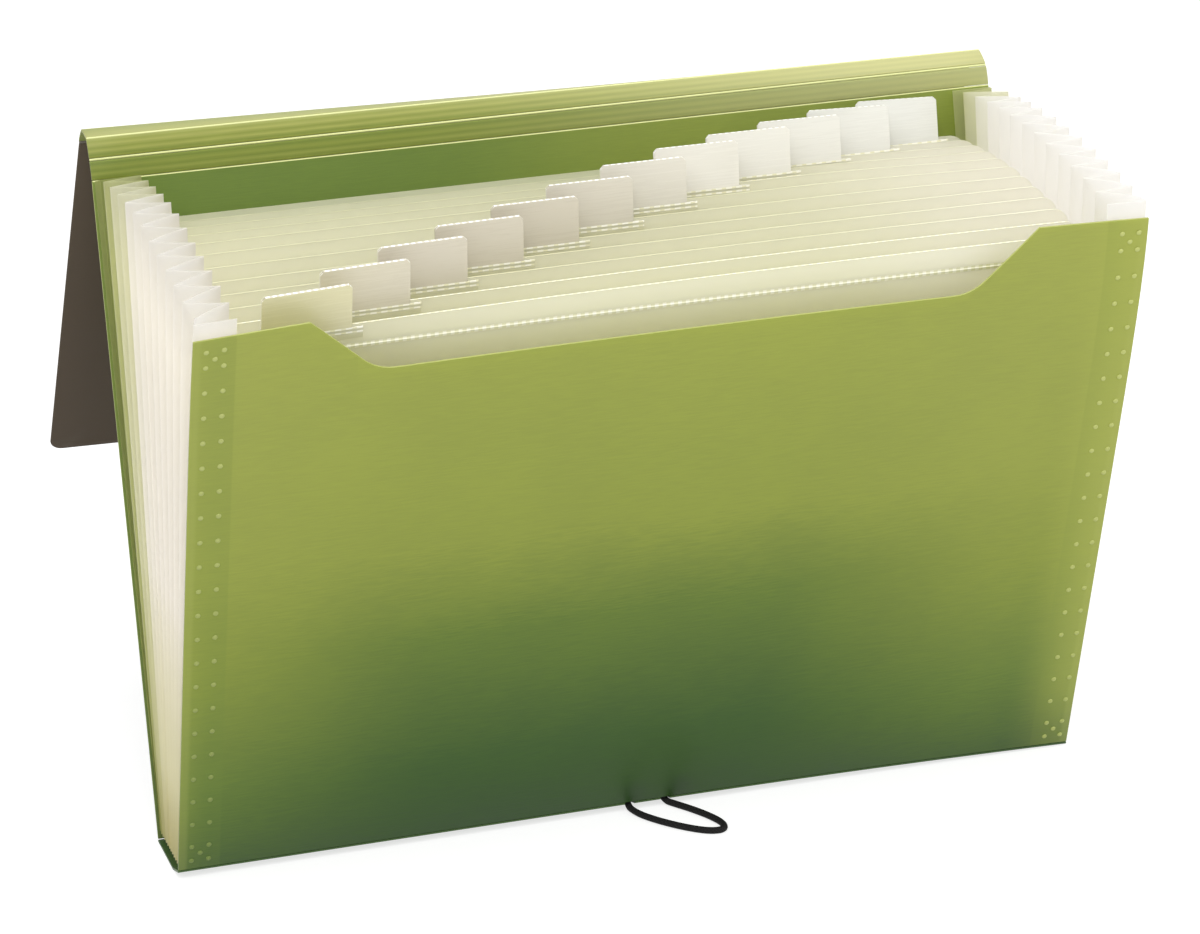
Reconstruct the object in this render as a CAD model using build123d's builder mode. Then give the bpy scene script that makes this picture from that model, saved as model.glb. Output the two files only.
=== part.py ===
"""Accordion file folder: a fan of tabbed dividers between two poly cover panels.

The folder stands on its narrow bottom, fanned open, with the flap thrown back.
X runs along the folder, +Y points to its back and Z is up. The origin lies on the
underside of the bottom panel, midway between the two bottom folds.
"""
import os
from math import cos, radians, sin, tan

from build123d import *

# Cover sheet and its folds
width = 330.0
base_depth = 30.0
cover_thickness = 0.8
fold_clearance = 0.3
front_height = 222.0
back_height = 230.6
front_lean_angle = 14.3
back_lean_angle = 14.7
corner_radius = 4.0
lip_run = 8.0
lip_rise = 2.7

# Cut-out in the top edge of the front panel
notch_top_width = 252.0
notch_bottom_width = 206.0
notch_depth = 21.5
notch_shoulder_radius = 5.0
notch_floor_radius = 16.0

# Scored strips over the top, and the flap that hangs behind
strip_width = 7.5
strip_lean_angles = (22.0, 46.0, 105.0, 145.0)
ridge_strip = 2
ridge_clearance = 0.6
flap_length = 169.5
flap_lean_angle = 150.0
flap_thickness = 0.5
flap_corner_radius = 5.0

# Dividers, fanned evenly between the two panels
pocket_count = 13
divider_width = 300.0
divider_top = 215.5
divider_bottom = 4.6
divider_thickness = 0.5
divider_corner_radius = 6.0

# Index tabs, staggered along the dividers
tab_width = 30.5
tab_top = 230.0
tab_overlap = 5.0
tab_pitch = 22.6
tab_wall = 0.3
tab_foot_width = 38.0
tab_foot_height = 4.0
tab_corner_chamfer = 1.2
label_thickness = 0.3
label_margin = 0.6

# Pleated side sheets
gusset_thickness = 0.3
gusset_top_drop = 0.5
gusset_edge_inset = 0.6
weld_clearance = 0.3
end_fold_share = 0.45

# Elastic loop, its two stops and the button that it hooks on
cord_diameter = 2.4
cord_sides = 6
cord_hole_clearance = 0.6
stop_length = 10.0
stop_width = 3.4
stop_thickness = 1.0
button_edge_distance = 22.0
button_radius = 7.0
button_crown = 1.6
button_neck_radius = 2.6
button_neck_height = 3.2
button_rim_chamfer = 0.5
rivet_radius = 1.8
rivet_clearance = 0.1
washer_radius = 5.5
washer_thickness = 0.8

# The elastic's route from the left stop, along the floor and back to the right stop
cord_height = cord_diameter / 2
cord_start = (-2.0, -11.7, 3.1)
cord_end = (10.9, -11.7, 3.1)
cord_route = [
    cord_start,
    (-2.0, -13.6, cord_height),
    (-1.6, -17.2, cord_height),
    (0.6, -22.6, cord_height),
    (6.0, -29.8, cord_height),
    (12.6, -36.6, cord_height),
    (19.0, -41.2, cord_height),
    (24.2, -41.6, cord_height),
    (25.4, -37.2, cord_height),
    (23.0, -30.6, cord_height),
    (18.6, -23.2, cord_height),
    (14.2, -17.2, cord_height),
    (11.6, -13.6, cord_height),
    cord_end,
]
run_share = 0.45

# Worked out from the sizes above
bead = cover_thickness / 2
sheet_start = bead + fold_clearance
front_fold = Vector(0, -base_depth / 2, bead + lip_rise)
lip_bend = Vector(0, -base_depth / 2 + lip_run, bead)
back_fold = Vector(0, base_depth / 2, bead)
divider_count = pocket_count - 1
fan_angle = front_lean_angle + back_lean_angle
gusset_inner = divider_width / 2 + weld_clearance
gusset_outer = width / 2 - gusset_edge_inset
gusset_top = back_fold.Z + back_height - gusset_top_drop

os.makedirs("parts", exist_ok=True)


def sheet_plane(fold, lean):
    """Plane of a sheet that rises from a fold, leaning forward by a number of degrees."""
    normal = (0, -cos(radians(lean)), -sin(radians(lean)))
    return Plane(origin=fold, x_dir=(1, 0, 0), z_dir=normal)


def profile_plane(fold, lean):
    """Plane across a strip: local X runs up the strip, which leans back by a number of degrees."""
    along = (0, sin(radians(lean)), cos(radians(lean)))
    return Plane(origin=fold, x_dir=along, z_dir=(1, 0, 0))


def lean_at(place):
    """Forward lean at a place in the fan, 0 at the front panel and pocket_count at the back."""
    return front_lean_angle - place * fan_angle / pocket_count


def fan_y(place, height):
    """Depth of a place in the fan at a height above the floor."""
    foot = -base_depth / 2 + place * base_depth / pocket_count
    return foot - (height - divider_bottom) * tan(radians(lean_at(place)))


def panel_y(fold, lean, height):
    """Depth of a cover panel's middle at a height, for a panel that leans forward from its fold."""
    return fold.Y - (height - fold.Z) * tan(radians(lean))


def save(builder, name):
    """Label a finished piece and write it as its own file."""
    builder.part.label = name
    export_step(builder.part, f"parts/{name}.step")


# Bottom panel: a flat sheet with a bead at each fold, its front edge swept up and a square foot at the back
lip_vector = front_fold - lip_bend
lip_slope = lip_vector.get_angle(Vector(0, -1, 0))
hole_size = cord_diameter + 2 * cord_hole_clearance
hole_length = hole_size + abs(cord_start[1] - cord_route[1][1])
hole_places = []
for end, beside in ((cord_start, cord_route[1]), (cord_end, cord_route[-2])):
    hole_places.append(((end[0] + beside[0]) / 2, (end[1] + beside[1]) / 2))
with BuildPart() as bottom_panel:
    with BuildSketch(Plane.YZ):
        with Locations(((lip_bend.Y + back_fold.Y) / 2, bead)):
            SlotCenterToCenter(back_fold.Y - lip_bend.Y, cover_thickness)
        with Locations(((lip_bend.Y + front_fold.Y) / 2, (lip_bend.Z + front_fold.Z) / 2)):
            SlotCenterToCenter(lip_vector.length, cover_thickness, rotation=-lip_slope)
        with Locations((back_fold.Y, bead / 2)):
            Rectangle(cover_thickness, bead)
    extrude(amount=width / 2, both=True)
    with BuildSketch(Plane.XY):
        with Locations(*hole_places):
            Rectangle(hole_size, hole_length)
    extrude(amount=lip_rise + cover_thickness * 2, mode=Mode.SUBTRACT)
save(bottom_panel, "bottom_panel")

# Front panel: a leaning sheet with a wide cut-out and rounded corners
with BuildPart() as front_panel:
    with BuildSketch(sheet_plane(front_fold, front_lean_angle)) as front_outline:
        with BuildLine():
            Polyline(
                (-width / 2, sheet_start),
                (-width / 2, front_height),
                (-notch_top_width / 2, front_height),
                (-notch_bottom_width / 2, front_height - notch_depth),
                (notch_bottom_width / 2, front_height - notch_depth),
                (notch_top_width / 2, front_height),
                (width / 2, front_height),
                (width / 2, sheet_start),
                close=True,
            )
        make_face()
        levels = front_outline.vertices().group_by(Axis.Y)
        top_row = levels[-1].sort_by(Axis.X)
        fillet(levels[1], notch_floor_radius)
        fillet(top_row[1:3], notch_shoulder_radius)
        fillet([top_row[0], top_row[-1]], corner_radius)
    extrude(amount=cover_thickness / 2, both=True)
save(front_panel, "front_panel")

# Back panel: a plain sheet with a bead along its first score line
back_plane = sheet_plane(back_fold, -back_lean_angle)
with BuildPart() as back_panel:
    with BuildSketch(profile_plane(back_fold, back_lean_angle)):
        with Locations(((sheet_start + back_height) / 2, 0)):
            Rectangle(back_height - sheet_start, cover_thickness)
        with Locations((back_height, 0)):
            Circle(bead)
    extrude(amount=width / 2, both=True)
save(back_panel, "back_panel")

# Hinge strips: four scored strips that carry the sheet over the top. The flap turns about the
# ridge, whose bead lies on the inner face, so that the strips beside it can fold onto each other.
score_line = back_plane.from_local_coords(Vector(0, back_height, 0))
for number, lean in enumerate(strip_lean_angles, start=1):
    bead_rise = bead if number == ridge_strip else 0
    strip_start = sheet_start
    if number == ridge_strip + 1:
        strip_start = bead + ridge_clearance
        score_line -= profile_plane(score_line, lean).y_dir * bead
    strip_plane = profile_plane(score_line, lean)
    with BuildPart() as hinge_strip:
        with BuildSketch(strip_plane):
            with Locations(((strip_start + strip_width) / 2, 0)):
                Rectangle(strip_width - strip_start, cover_thickness)
            with Locations((strip_width, bead_rise)):
                Circle(bead)
        extrude(amount=width / 2, both=True)
    save(hinge_strip, f"hinge_strip_{number}")
    score_line = strip_plane.from_local_coords(Vector(strip_width, bead_rise, 0))

# Flap: a thinner sheet with rounded free corners and a hole for the button's rivet
flap_plane = sheet_plane(score_line, -flap_lean_angle)
button_y = flap_length - button_edge_distance
button_x = (cord_start[0] + cord_end[0]) / 2
with BuildPart() as flap_panel:
    with BuildSketch(flap_plane) as flap_outline:
        with Locations((0, (sheet_start + flap_length) / 2)):
            Rectangle(width, flap_length - sheet_start)
        fillet(flap_outline.vertices().group_by(Axis.Y)[-1], flap_corner_radius)
        with Locations((button_x, button_y)):
            Circle(rivet_radius + rivet_clearance, mode=Mode.SUBTRACT)
    extrude(amount=flap_thickness / 2, both=True)
save(flap_panel, "flap_panel")

# Closure button on the flap's outer face: a crowned head on a neck, riveted through to a washer
button_spot = flap_plane.from_local_coords(Vector(button_x, button_y, 0))
button_plane = Plane(origin=button_spot, x_dir=(1, 0, 0), z_dir=-flap_plane.z_dir)
rivet_length = flap_thickness / 2 + washer_thickness
neck_top = flap_thickness / 2 + button_neck_height
with BuildPart() as closure_button:
    with BuildSketch(button_plane.offset(-rivet_length)):
        Circle(rivet_radius)
    extrude(amount=rivet_length + neck_top)
    with BuildSketch(button_plane.offset(flap_thickness / 2)):
        Circle(button_neck_radius)
    extrude(amount=button_neck_height)
    with BuildSketch(button_plane.offset(neck_top)):
        Circle(button_radius)
    extrude(amount=button_crown)
    rims = closure_button.edges().filter_by(GeomType.CIRCLE).sort_by(SortBy.RADIUS)
    chamfer(rims[-2:], button_rim_chamfer)
save(closure_button, "closure_button")

with BuildPart() as button_washer:
    with BuildSketch(button_plane.offset(-rivet_length)):
        Circle(washer_radius)
        Circle(rivet_radius + rivet_clearance, mode=Mode.SUBTRACT)
    extrude(amount=washer_thickness)
save(button_washer, "button_washer")

# Dividers with their tabs and labels: each sheet turns about its rounded bottom edge
tab_height = tab_top - divider_top
for number in range(1, divider_count + 1):
    lean = lean_at(number)
    foot = Vector(0, fan_y(number, divider_bottom), divider_bottom)
    sheet = sheet_plane(foot, lean)
    sheet_height = divider_top - divider_bottom
    tab_x = (number - (divider_count + 1) / 2) * tab_pitch

    with BuildPart() as divider:
        with BuildSketch(profile_plane(foot, -lean)):
            with Locations((sheet_height / 2, 0)):
                Rectangle(sheet_height, divider_thickness)
            Circle(divider_thickness / 2)
        extrude(amount=divider_width / 2, both=True)
        top_corners = divider.edges().filter_by(Axis(foot, sheet.z_dir)).group_by(Axis.Z)[-1]
        fillet(top_corners, divider_corner_radius)
    save(divider, f"divider_{number:02d}")

    with BuildPart() as tab_holder:
        for side in (1, -1):
            with BuildSketch(sheet.offset(side * divider_thickness / 2)) as tab_wall_outline:
                with Locations((tab_x, sheet_height + (tab_height - tab_overlap) / 2)):
                    Rectangle(tab_width, tab_height + tab_overlap)
                chamfer(tab_wall_outline.vertices().group_by(Axis.Y)[-1], tab_corner_chamfer)
                with Locations((tab_x, sheet_height - tab_overlap + tab_foot_height / 2)):
                    Rectangle(tab_foot_width, tab_foot_height)
            extrude(amount=side * tab_wall)
        with BuildSketch(sheet):
            with Locations((tab_x, sheet_height + tab_height - tab_wall / 2)):
                Rectangle(tab_width - 2 * tab_corner_chamfer, tab_wall)
        extrude(amount=divider_thickness / 2, both=True)
    save(tab_holder, f"tab_holder_{number:02d}")

    label_height = tab_height - tab_wall - label_margin
    with BuildPart() as tab_label:
        with BuildSketch(sheet):
            with Locations((tab_x, sheet_height + label_height / 2)):
                Rectangle(tab_width - 2 * label_margin, label_height)
        extrude(amount=label_thickness / 2, both=True)
    save(tab_label, f"tab_label_{number:02d}")


def gusset_folds(height):
    """Fold lines of a side sheet at a height, from the front free edge to the back one."""
    panel_gap = cover_thickness / 2 / cos(radians(front_lean_angle)) + weld_clearance + gusset_thickness / 2
    inner = [fan_y(place, height) for place in range(1, pocket_count)]
    outer = [fan_y(end_fold_share, height)]
    outer += [fan_y(place + 1 / 2, height) for place in range(1, divider_count)]
    outer += [fan_y(pocket_count - end_fold_share, height)]
    first = panel_y(front_fold, front_lean_angle, height) + panel_gap
    last = panel_y(back_fold, -back_lean_angle, height) - panel_gap
    return [first] + inner + [last], outer


def gusset_outline(height, side):
    """Outline of one pleated sheet at a height: capped folds, with a point inside each one."""
    inner, outer = gusset_folds(height)
    half = gusset_thickness / 2
    reach = gusset_outer - gusset_inner
    outside = [(gusset_inner, inner[0] - half)]
    inside = [(gusset_inner, inner[0] + half)]
    for index, fold in enumerate(outer):
        near, far = inner[index], inner[index + 1]
        outside += [(gusset_outer, fold - half), (gusset_outer, fold + half)]
        inside += [(gusset_outer - reach * gusset_thickness / (far - near), fold)]
        if index < len(outer) - 1:
            pitch = outer[index + 1] - fold
            outside += [(gusset_inner + reach * gusset_thickness / pitch, far)]
            inside += [(gusset_inner, far - half), (gusset_inner, far + half)]
    outside += [(gusset_inner, inner[-1] + half)]
    inside += [(gusset_inner, inner[-1] - half)]
    return [(side * x, y) for x, y in outside + inside[::-1]]


# Gussets: one zig-zag sheet a side, fanned from the bottom and cropped along the pleat tops
crop_drop = (gusset_top - divider_bottom) * (1 - cos(radians(fan_angle / 2)))
crop_reach = fan_y(pocket_count, gusset_top)
crop_slope = Vector(0, crop_reach, -crop_drop).get_angle(Vector(0, 1, 0))
for name, side in (("gusset_left", -1), ("gusset_right", 1)):
    with BuildPart() as gusset:
        for height in (divider_bottom, gusset_top):
            with BuildSketch(Plane.XY.offset(height)):
                with BuildLine():
                    Polyline(*gusset_outline(height, side), close=True)
                make_face()
        loft(ruled=True)
        for turn in (crop_slope, -crop_slope):
            crop = Plane(origin=(0, 0, gusset_top)).rotated((turn, 0, 0))
            split(bisect_by=crop, keep=Keep.BOTTOM)
    save(gusset, name)

# Elastic loop: a faceted tube along straight runs and tangent arcs, lying on the floor
route = [Vector(*point) for point in cord_route]
runs = [after - before for before, after in zip(route, route[1:])]
bend_radii = []
for before, after in zip(runs, runs[1:]):
    half_turn = radians(before.get_angle(after)) / 2
    bend_radii.append(run_share * min(before.length, after.length) / tan(half_turn))
print("bend radii", [round(radius, 2) for radius in bend_radii])
with BuildPart() as elastic_loop:
    with BuildLine() as cord_path:
        FilletPolyline(*route, radius=bend_radii)
    with BuildSketch(Plane(origin=route[0], z_dir=runs[0])):
        RegularPolygon(cord_diameter / 2, cord_sides)
    sweep()
cord_length = cord_path.wire().length
section = RegularPolygon(cord_diameter / 2, cord_sides, mode=Mode.PRIVATE).area
print("cord length", round(cord_length, 1))
print("tube volume share", round(elastic_loop.part.volume / (section * cord_length), 4))
save(elastic_loop, "elastic_loop")

# Cord stops: two flat bars lying on the swept-up edge, across the cord holes
lip_plane = Plane(origin=lip_bend, x_dir=(1, 0, 0), z_dir=(0, lip_vector.Z, -lip_vector.Y))
stop_base = lip_plane.offset(cover_thickness / 2)
stop_places = [stop_base.to_local_coords(Vector(*end)) for end in (cord_start, cord_end)]
with BuildPart() as cord_stops:
    with BuildSketch(stop_base):
        with Locations(*[(place.X, place.Y) for place in stop_places]):
            SlotOverall(stop_length, stop_width)
    extrude(amount=stop_thickness)
save(cord_stops, "cord_stops")
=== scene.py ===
"""Dresses the accordion file folder: bowed cover sheets, pleated sides, index tabs and its elastic loop."""

import logging
import math
from dataclasses import dataclass
from enum import Enum
from typing import Callable, Sequence

import bpy
from mathutils import Matrix, Vector


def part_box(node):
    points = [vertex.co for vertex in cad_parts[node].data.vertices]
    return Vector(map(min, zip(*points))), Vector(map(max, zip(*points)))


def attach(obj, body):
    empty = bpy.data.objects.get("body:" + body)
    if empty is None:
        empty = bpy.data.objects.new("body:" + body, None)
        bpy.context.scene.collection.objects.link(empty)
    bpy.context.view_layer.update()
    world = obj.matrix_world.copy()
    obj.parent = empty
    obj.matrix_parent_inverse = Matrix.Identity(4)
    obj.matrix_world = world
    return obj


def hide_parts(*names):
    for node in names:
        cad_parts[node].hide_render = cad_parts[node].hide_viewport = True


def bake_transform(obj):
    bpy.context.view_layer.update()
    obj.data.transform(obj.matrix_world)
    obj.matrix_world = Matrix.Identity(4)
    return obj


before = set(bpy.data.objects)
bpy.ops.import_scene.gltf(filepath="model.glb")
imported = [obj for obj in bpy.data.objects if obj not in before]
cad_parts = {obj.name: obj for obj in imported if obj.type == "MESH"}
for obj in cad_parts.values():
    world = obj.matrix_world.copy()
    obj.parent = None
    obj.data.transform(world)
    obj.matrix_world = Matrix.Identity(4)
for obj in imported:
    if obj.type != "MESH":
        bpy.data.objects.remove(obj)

LOG = logging.getLogger("file_folder")
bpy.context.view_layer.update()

Colour = tuple[int, int, int]
Stops = Sequence[tuple[float, Colour]]
Pair = tuple[float, float]
Triple = tuple[float, float, float]
FULL = 255.0
ROUND_OFF = 1e-6
ACROSS = Vector((1.0, 0.0, 0.0))
ALONG = Vector((0.0, 1.0, 0.0))
UPRIGHT = Vector((0.0, 0.0, 1.0))


def tint(colour: Colour) -> tuple[float, float, float, float]:
    """Turn a screen colour into the linear colour that a shader takes.

    Args:
        colour: Red, green and blue from 0 to 255.

    Returns:
        The same colour, linear, with a full fourth channel.
    """
    parts = [part / FULL for part in colour]
    linear = [p / 12.92 if p <= 0.04045 else ((p + 0.055) / 1.055) ** 2.4 for p in parts]
    return (linear[0], linear[1], linear[2], 1.0)


def ease(share: float) -> float:
    """Ease a share smoothly from 0 to 1."""
    share = min(1.0, max(0.0, share))
    return share * share * (3.0 - 2.0 * share)


def crowd_up(share: float, power: float = 1.7) -> float:
    """Crowd even steps together towards the top, where the sheets curl."""
    return 1.0 - (1.0 - share) ** power


class Side(Enum):
    """The folder's two ends."""

    LEFT = -1
    RIGHT = 1


class Wiring:
    """A hand for wiring one node tree."""

    def __init__(self, tree: bpy.types.NodeTree) -> None:
        """Hold the tree that the nodes go into."""
        self.tree = tree

    def add(self, kind: str, **settings: object) -> bpy.types.Node:
        """Add a node and set its properties.

        Args:
            kind: The node's type name.
            settings: Properties of the node.

        Returns:
            The new node.
        """
        node = self.tree.nodes.new(kind)
        for key, value in settings.items():
            setattr(node, key, value)
        return node

    def put(self, value: object, into: bpy.types.NodeSocket) -> None:
        """Link a socket, or set a plain value.

        Args:
            value: The socket or the value.
            into: The input that takes it.
        """
        if isinstance(value, bpy.types.NodeSocket):
            self.tree.links.new(value, into)
        else:
            into.default_value = value

    def split(self, vector: bpy.types.NodeSocket) -> bpy.types.NodeOutputs:
        """Split a vector.

        Args:
            vector: The vector's socket.

        Returns:
            Its X, Y and Z sockets.
        """
        node = self.add("ShaderNodeSeparateXYZ")
        self.put(vector, node.inputs[0])
        return node.outputs

    def math(self, operation: str, first: object, second: object = 0.0) -> bpy.types.NodeSocket:
        """Add one sum.

        Args:
            operation: The Math node's operation.
            first: First value or socket.
            second: Second value or socket.

        Returns:
            The result's socket.
        """
        node = self.add("ShaderNodeMath", operation=operation)
        self.put(first, node.inputs[0])
        self.put(second, node.inputs[1])
        return node.outputs[0]

    def fade(
        self, value: object, low: float, high: float,
        to_low: float = 0.0, to_high: float = 1.0, way: str = "SMOOTHSTEP",
    ) -> bpy.types.NodeSocket:
        """Ease a value from one range into another.

        Args:
            value: The value or socket.
            low: Where the ease starts.
            high: Where the ease ends.
            to_low: Result at the start.
            to_high: Result at the end.
            way: The Map Range node's interpolation.

        Returns:
            The eased value's socket.
        """
        node = self.add("ShaderNodeMapRange", interpolation_type=way)
        self.put(value, node.inputs["Value"])
        node.inputs["From Min"].default_value = low
        node.inputs["From Max"].default_value = high
        node.inputs["To Min"].default_value = to_low
        node.inputs["To Max"].default_value = to_high
        return node.outputs["Result"]

    def ramp(self, value: object, stops: Stops) -> bpy.types.NodeSocket:
        """Colour a value from 0 to 1.

        Args:
            value: The value or socket.
            stops: Places from 0 to 1 with their screen colours.

        Returns:
            The colour's socket.
        """
        node = self.add("ShaderNodeValToRGB")
        elements = node.color_ramp.elements
        while len(elements) < len(stops):
            elements.new(0.5)
        for element, (place, colour) in zip(elements, stops):
            element.position = place
            element.color = tint(colour)
        self.put(value, node.inputs["Fac"])
        return node.outputs["Color"]

    def mix(self, share: object, first: object, second: object, way: str = "MIX") -> bpy.types.NodeSocket:
        """Mix two colours.

        Args:
            share: Share of the second colour.
            first: First colour or socket.
            second: Second colour or socket.
            way: The Mix node's blend type.

        Returns:
            The mixed colour's socket.
        """
        node = self.add("ShaderNodeMix", data_type="RGBA", blend_type=way)
        self.put(share, node.inputs[0])
        self.put(first, node.inputs[6])
        self.put(second, node.inputs[7])
        return node.outputs[2]

    def spot(
        self, place: bpy.types.NodeSocket, centre: Vector, near: float, far: float,
    ) -> bpy.types.NodeSocket:
        """Mark a soft round spot on the piece.

        Args:
            place: The point on the piece.
            centre: The spot's centre.
            near: Radius of the full spot.
            far: Radius where it has faded out.

        Returns:
            A mask, 1 in the spot.
        """
        gap = self.add("ShaderNodeVectorMath", operation="DISTANCE")
        self.put(place, gap.inputs[0])
        gap.inputs[1].default_value = centre
        return self.fade(gap.outputs["Value"], near, far, 1.0, 0.0)


class Effects:
    """Shared surface effects, each built once as a node group."""

    FINE_DETAIL = 5.0
    FINE_ROUGHNESS = 0.62
    FINE_SHARE = 0.65
    BROAD_SCALE = 26.0
    BROAD_DETAIL = 2.0
    BROAD_SHARE = 0.35
    TONE_RANGE = (0.33, 0.67)
    BAND_BLUR = 0.0004
    MARGIN_BLUR = 0.0008

    @staticmethod
    def start(
        name: str, takes: dict[str, str], gives: Sequence[str],
    ) -> tuple[Wiring, bpy.types.Node, bpy.types.Node]:
        """Open a new group with named sockets.

        Args:
            name: The group's name.
            takes: Input names with their socket types.
            gives: Names of its outputs, each a value.

        Returns:
            The group's wiring, and its input and output nodes.
        """
        tree = bpy.data.node_groups.new(name, "ShaderNodeTree")
        for key, kind in takes.items():
            tree.interface.new_socket(key, in_out="INPUT", socket_type=kind)
        for key in gives:
            tree.interface.new_socket(key, in_out="OUTPUT", socket_type="NodeSocketFloat")
        wiring = Wiring(tree)
        return wiring, wiring.add("NodeGroupInput"), wiring.add("NodeGroupOutput")

    @classmethod
    def drawn_streaks(cls) -> None:
        """Make the fine drawn lines of extruded plastic sheet, as a tone from 0 to 1 and a height for bump."""
        w, into, out = cls.start(
            "drawn_streaks",
            {"Point": "NodeSocketVector", "Stretch": "NodeSocketVector", "Scale": "NodeSocketFloat"},
            ("Tone", "Height"),
        )
        flat = w.add("ShaderNodeVectorMath", operation="MULTIPLY")
        w.put(into.outputs["Point"], flat.inputs[0])
        w.put(into.outputs["Stretch"], flat.inputs[1])
        fine = w.add("ShaderNodeTexNoise")
        w.put(flat.outputs[0], fine.inputs["Vector"])
        w.put(into.outputs["Scale"], fine.inputs["Scale"])
        fine.inputs["Detail"].default_value = cls.FINE_DETAIL
        fine.inputs["Roughness"].default_value = cls.FINE_ROUGHNESS
        broad = w.add("ShaderNodeTexNoise")
        w.put(into.outputs["Point"], broad.inputs["Vector"])
        broad.inputs["Scale"].default_value = cls.BROAD_SCALE
        broad.inputs["Detail"].default_value = cls.BROAD_DETAIL
        lines = w.math("MULTIPLY", fine.outputs[0], cls.FINE_SHARE)
        clouds = w.math("MULTIPLY", broad.outputs[0], cls.BROAD_SHARE)
        w.put(w.fade(w.math("ADD", lines, clouds), *cls.TONE_RANGE), out.inputs["Tone"])
        w.put(fine.outputs[0], out.inputs["Height"])

    @classmethod
    def side_band(cls) -> None:
        """Make the welded band along both side edges of a sheet, and the free margin outside it."""
        w, into, out = cls.start(
            "side_band",
            {"Point": "NodeSocketVector", "Inner": "NodeSocketFloat", "Outer": "NodeSocketFloat"},
            ("Band", "Margin"),
        )
        away = w.math("ABSOLUTE", w.split(into.outputs["Point"])["X"])
        past = w.math("SUBTRACT", away, into.outputs["Inner"])
        over = w.math("SUBTRACT", away, into.outputs["Outer"])
        w.put(w.fade(past, -cls.BAND_BLUR, cls.BAND_BLUR), out.inputs["Band"])
        w.put(w.fade(over, -cls.MARGIN_BLUR, cls.MARGIN_BLUR), out.inputs["Margin"])


@dataclass(frozen=True)
class FanLayout:
    """Where the covers and the sheets of the fan stand, in metres and degrees."""

    pockets: int = 13
    foot_height: float = 0.0046
    front_foot: float = -0.015
    back_foot: float = 0.015
    front_lean: float = 14.3
    back_lean: float = -14.7
    front_fold: Triple = (0.0, -0.015, 0.0031)
    back_fold: Triple = (0.0, 0.015, 0.0004)
    half_width: float = 0.165
    sheet_height: float = 0.2225
    bow_level: float = -0.0070
    bow_tilt: float = -0.00325
    bow_curve: float = 0.0062
    bow_power: float = 9.0
    bowed_places: float = 10.0
    lift_peak: float = 0.0028
    lift_start: float = 4.5
    lift_spread: float = 3.5
    rear_sheet: float = 12.0
    rear_loss: float = 0.7
    right_start: float = 0.45
    right_spread: float = 0.5
    right_loss: float = 0.75
    corner_drop: float = 0.00236

    def lean(self, place: float) -> float:
        """Give the forward lean at a place in the fan, in radians."""
        return math.radians(self.front_lean + place * (self.back_lean - self.front_lean) / self.pockets)

    def foot(self, place: float) -> Vector:
        """Give the foot of the fan at a place."""
        y = self.front_foot + place * (self.back_foot - self.front_foot) / self.pockets
        return Vector((0.0, y, self.foot_height))

    def up(self, place: float) -> Vector:
        """Give the direction up a sheet."""
        return Vector((0.0, -math.sin(self.lean(place)), math.cos(self.lean(place))))

    def ahead(self, place: float) -> Vector:
        """Give the direction square to a sheet, to the front."""
        return Vector((0.0, -math.cos(self.lean(place)), -math.sin(self.lean(place))))

    def bow(self, place: float, x: float, run: float) -> float:
        """Say how far a limp sheet bows forward of its flat plane.

        Args:
            place: Place in the fan, 0 at the front cover.
            x: Distance from the middle.
            run: Distance up the sheet.

        Returns:
            The offset to the front, in metres.
        """
        share = max(0.0, 1.0 - place / self.bowed_places)
        rise = max(0.0, run / self.sheet_height) ** self.bow_power
        side = x / self.half_width
        return share * rise * (self.bow_level + self.bow_tilt * side + self.bow_curve * side * side)

    def lift(self, place: float, x: float, run: float) -> float:
        """Say how much higher a limp sheet of the rear half stands than its flat cut.

        Args:
            place: Place in the fan, 0 at the front cover.
            x: Distance from the middle.
            run: Distance up the sheet.

        Returns:
            The offset up the sheet, in metres.
        """
        grow = ease((place - self.lift_start) / self.lift_spread)
        grow -= self.rear_loss * max(0.0, place - self.rear_sheet)
        fall = 1.0 - self.right_loss * ease((x / self.half_width - self.right_start) / self.right_spread)
        return self.lift_peak * grow * fall * max(0.0, run / self.sheet_height) ** 2

    def drift(self, place: float, x: float, run: float) -> Vector:
        """Give the whole offset of a limp sheet from its flat cut."""
        return self.ahead(place) * self.bow(place, x, run) + self.up(place) * self.lift(place, x, run)

    def droop(self, x: float, share: float) -> Vector:
        """Give how far the folder's right front corner settles, by its share."""
        return Vector((0.0, 0.0, -self.corner_drop * max(0.0, x / self.half_width) ** 2 * share))

    def front_drift(self, x: float, run: float) -> Vector:
        """Give the front cover's whole offset: bowed at the top, settled at the right front corner."""
        return self.drift(0, x, run) + self.droop(x, 1.0 - run / self.sheet_height)

    def point(self, place: float, x: float, run: float, shift: float = 0.0) -> Vector:
        """Give a point of the bowed fan.

        Args:
            place: Place in the fan, 0 at the front cover and 13 at the back.
            x: Distance from the middle.
            run: Distance up the sheet.
            shift: Extra offset to the front.

        Returns:
            The point, in metres.
        """
        flat = self.foot(place) + self.up(place) * run + self.ahead(place) * shift
        return flat + self.drift(place, x, run) + Vector((x, 0.0, 0.0))


FAN = FanLayout()


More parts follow.
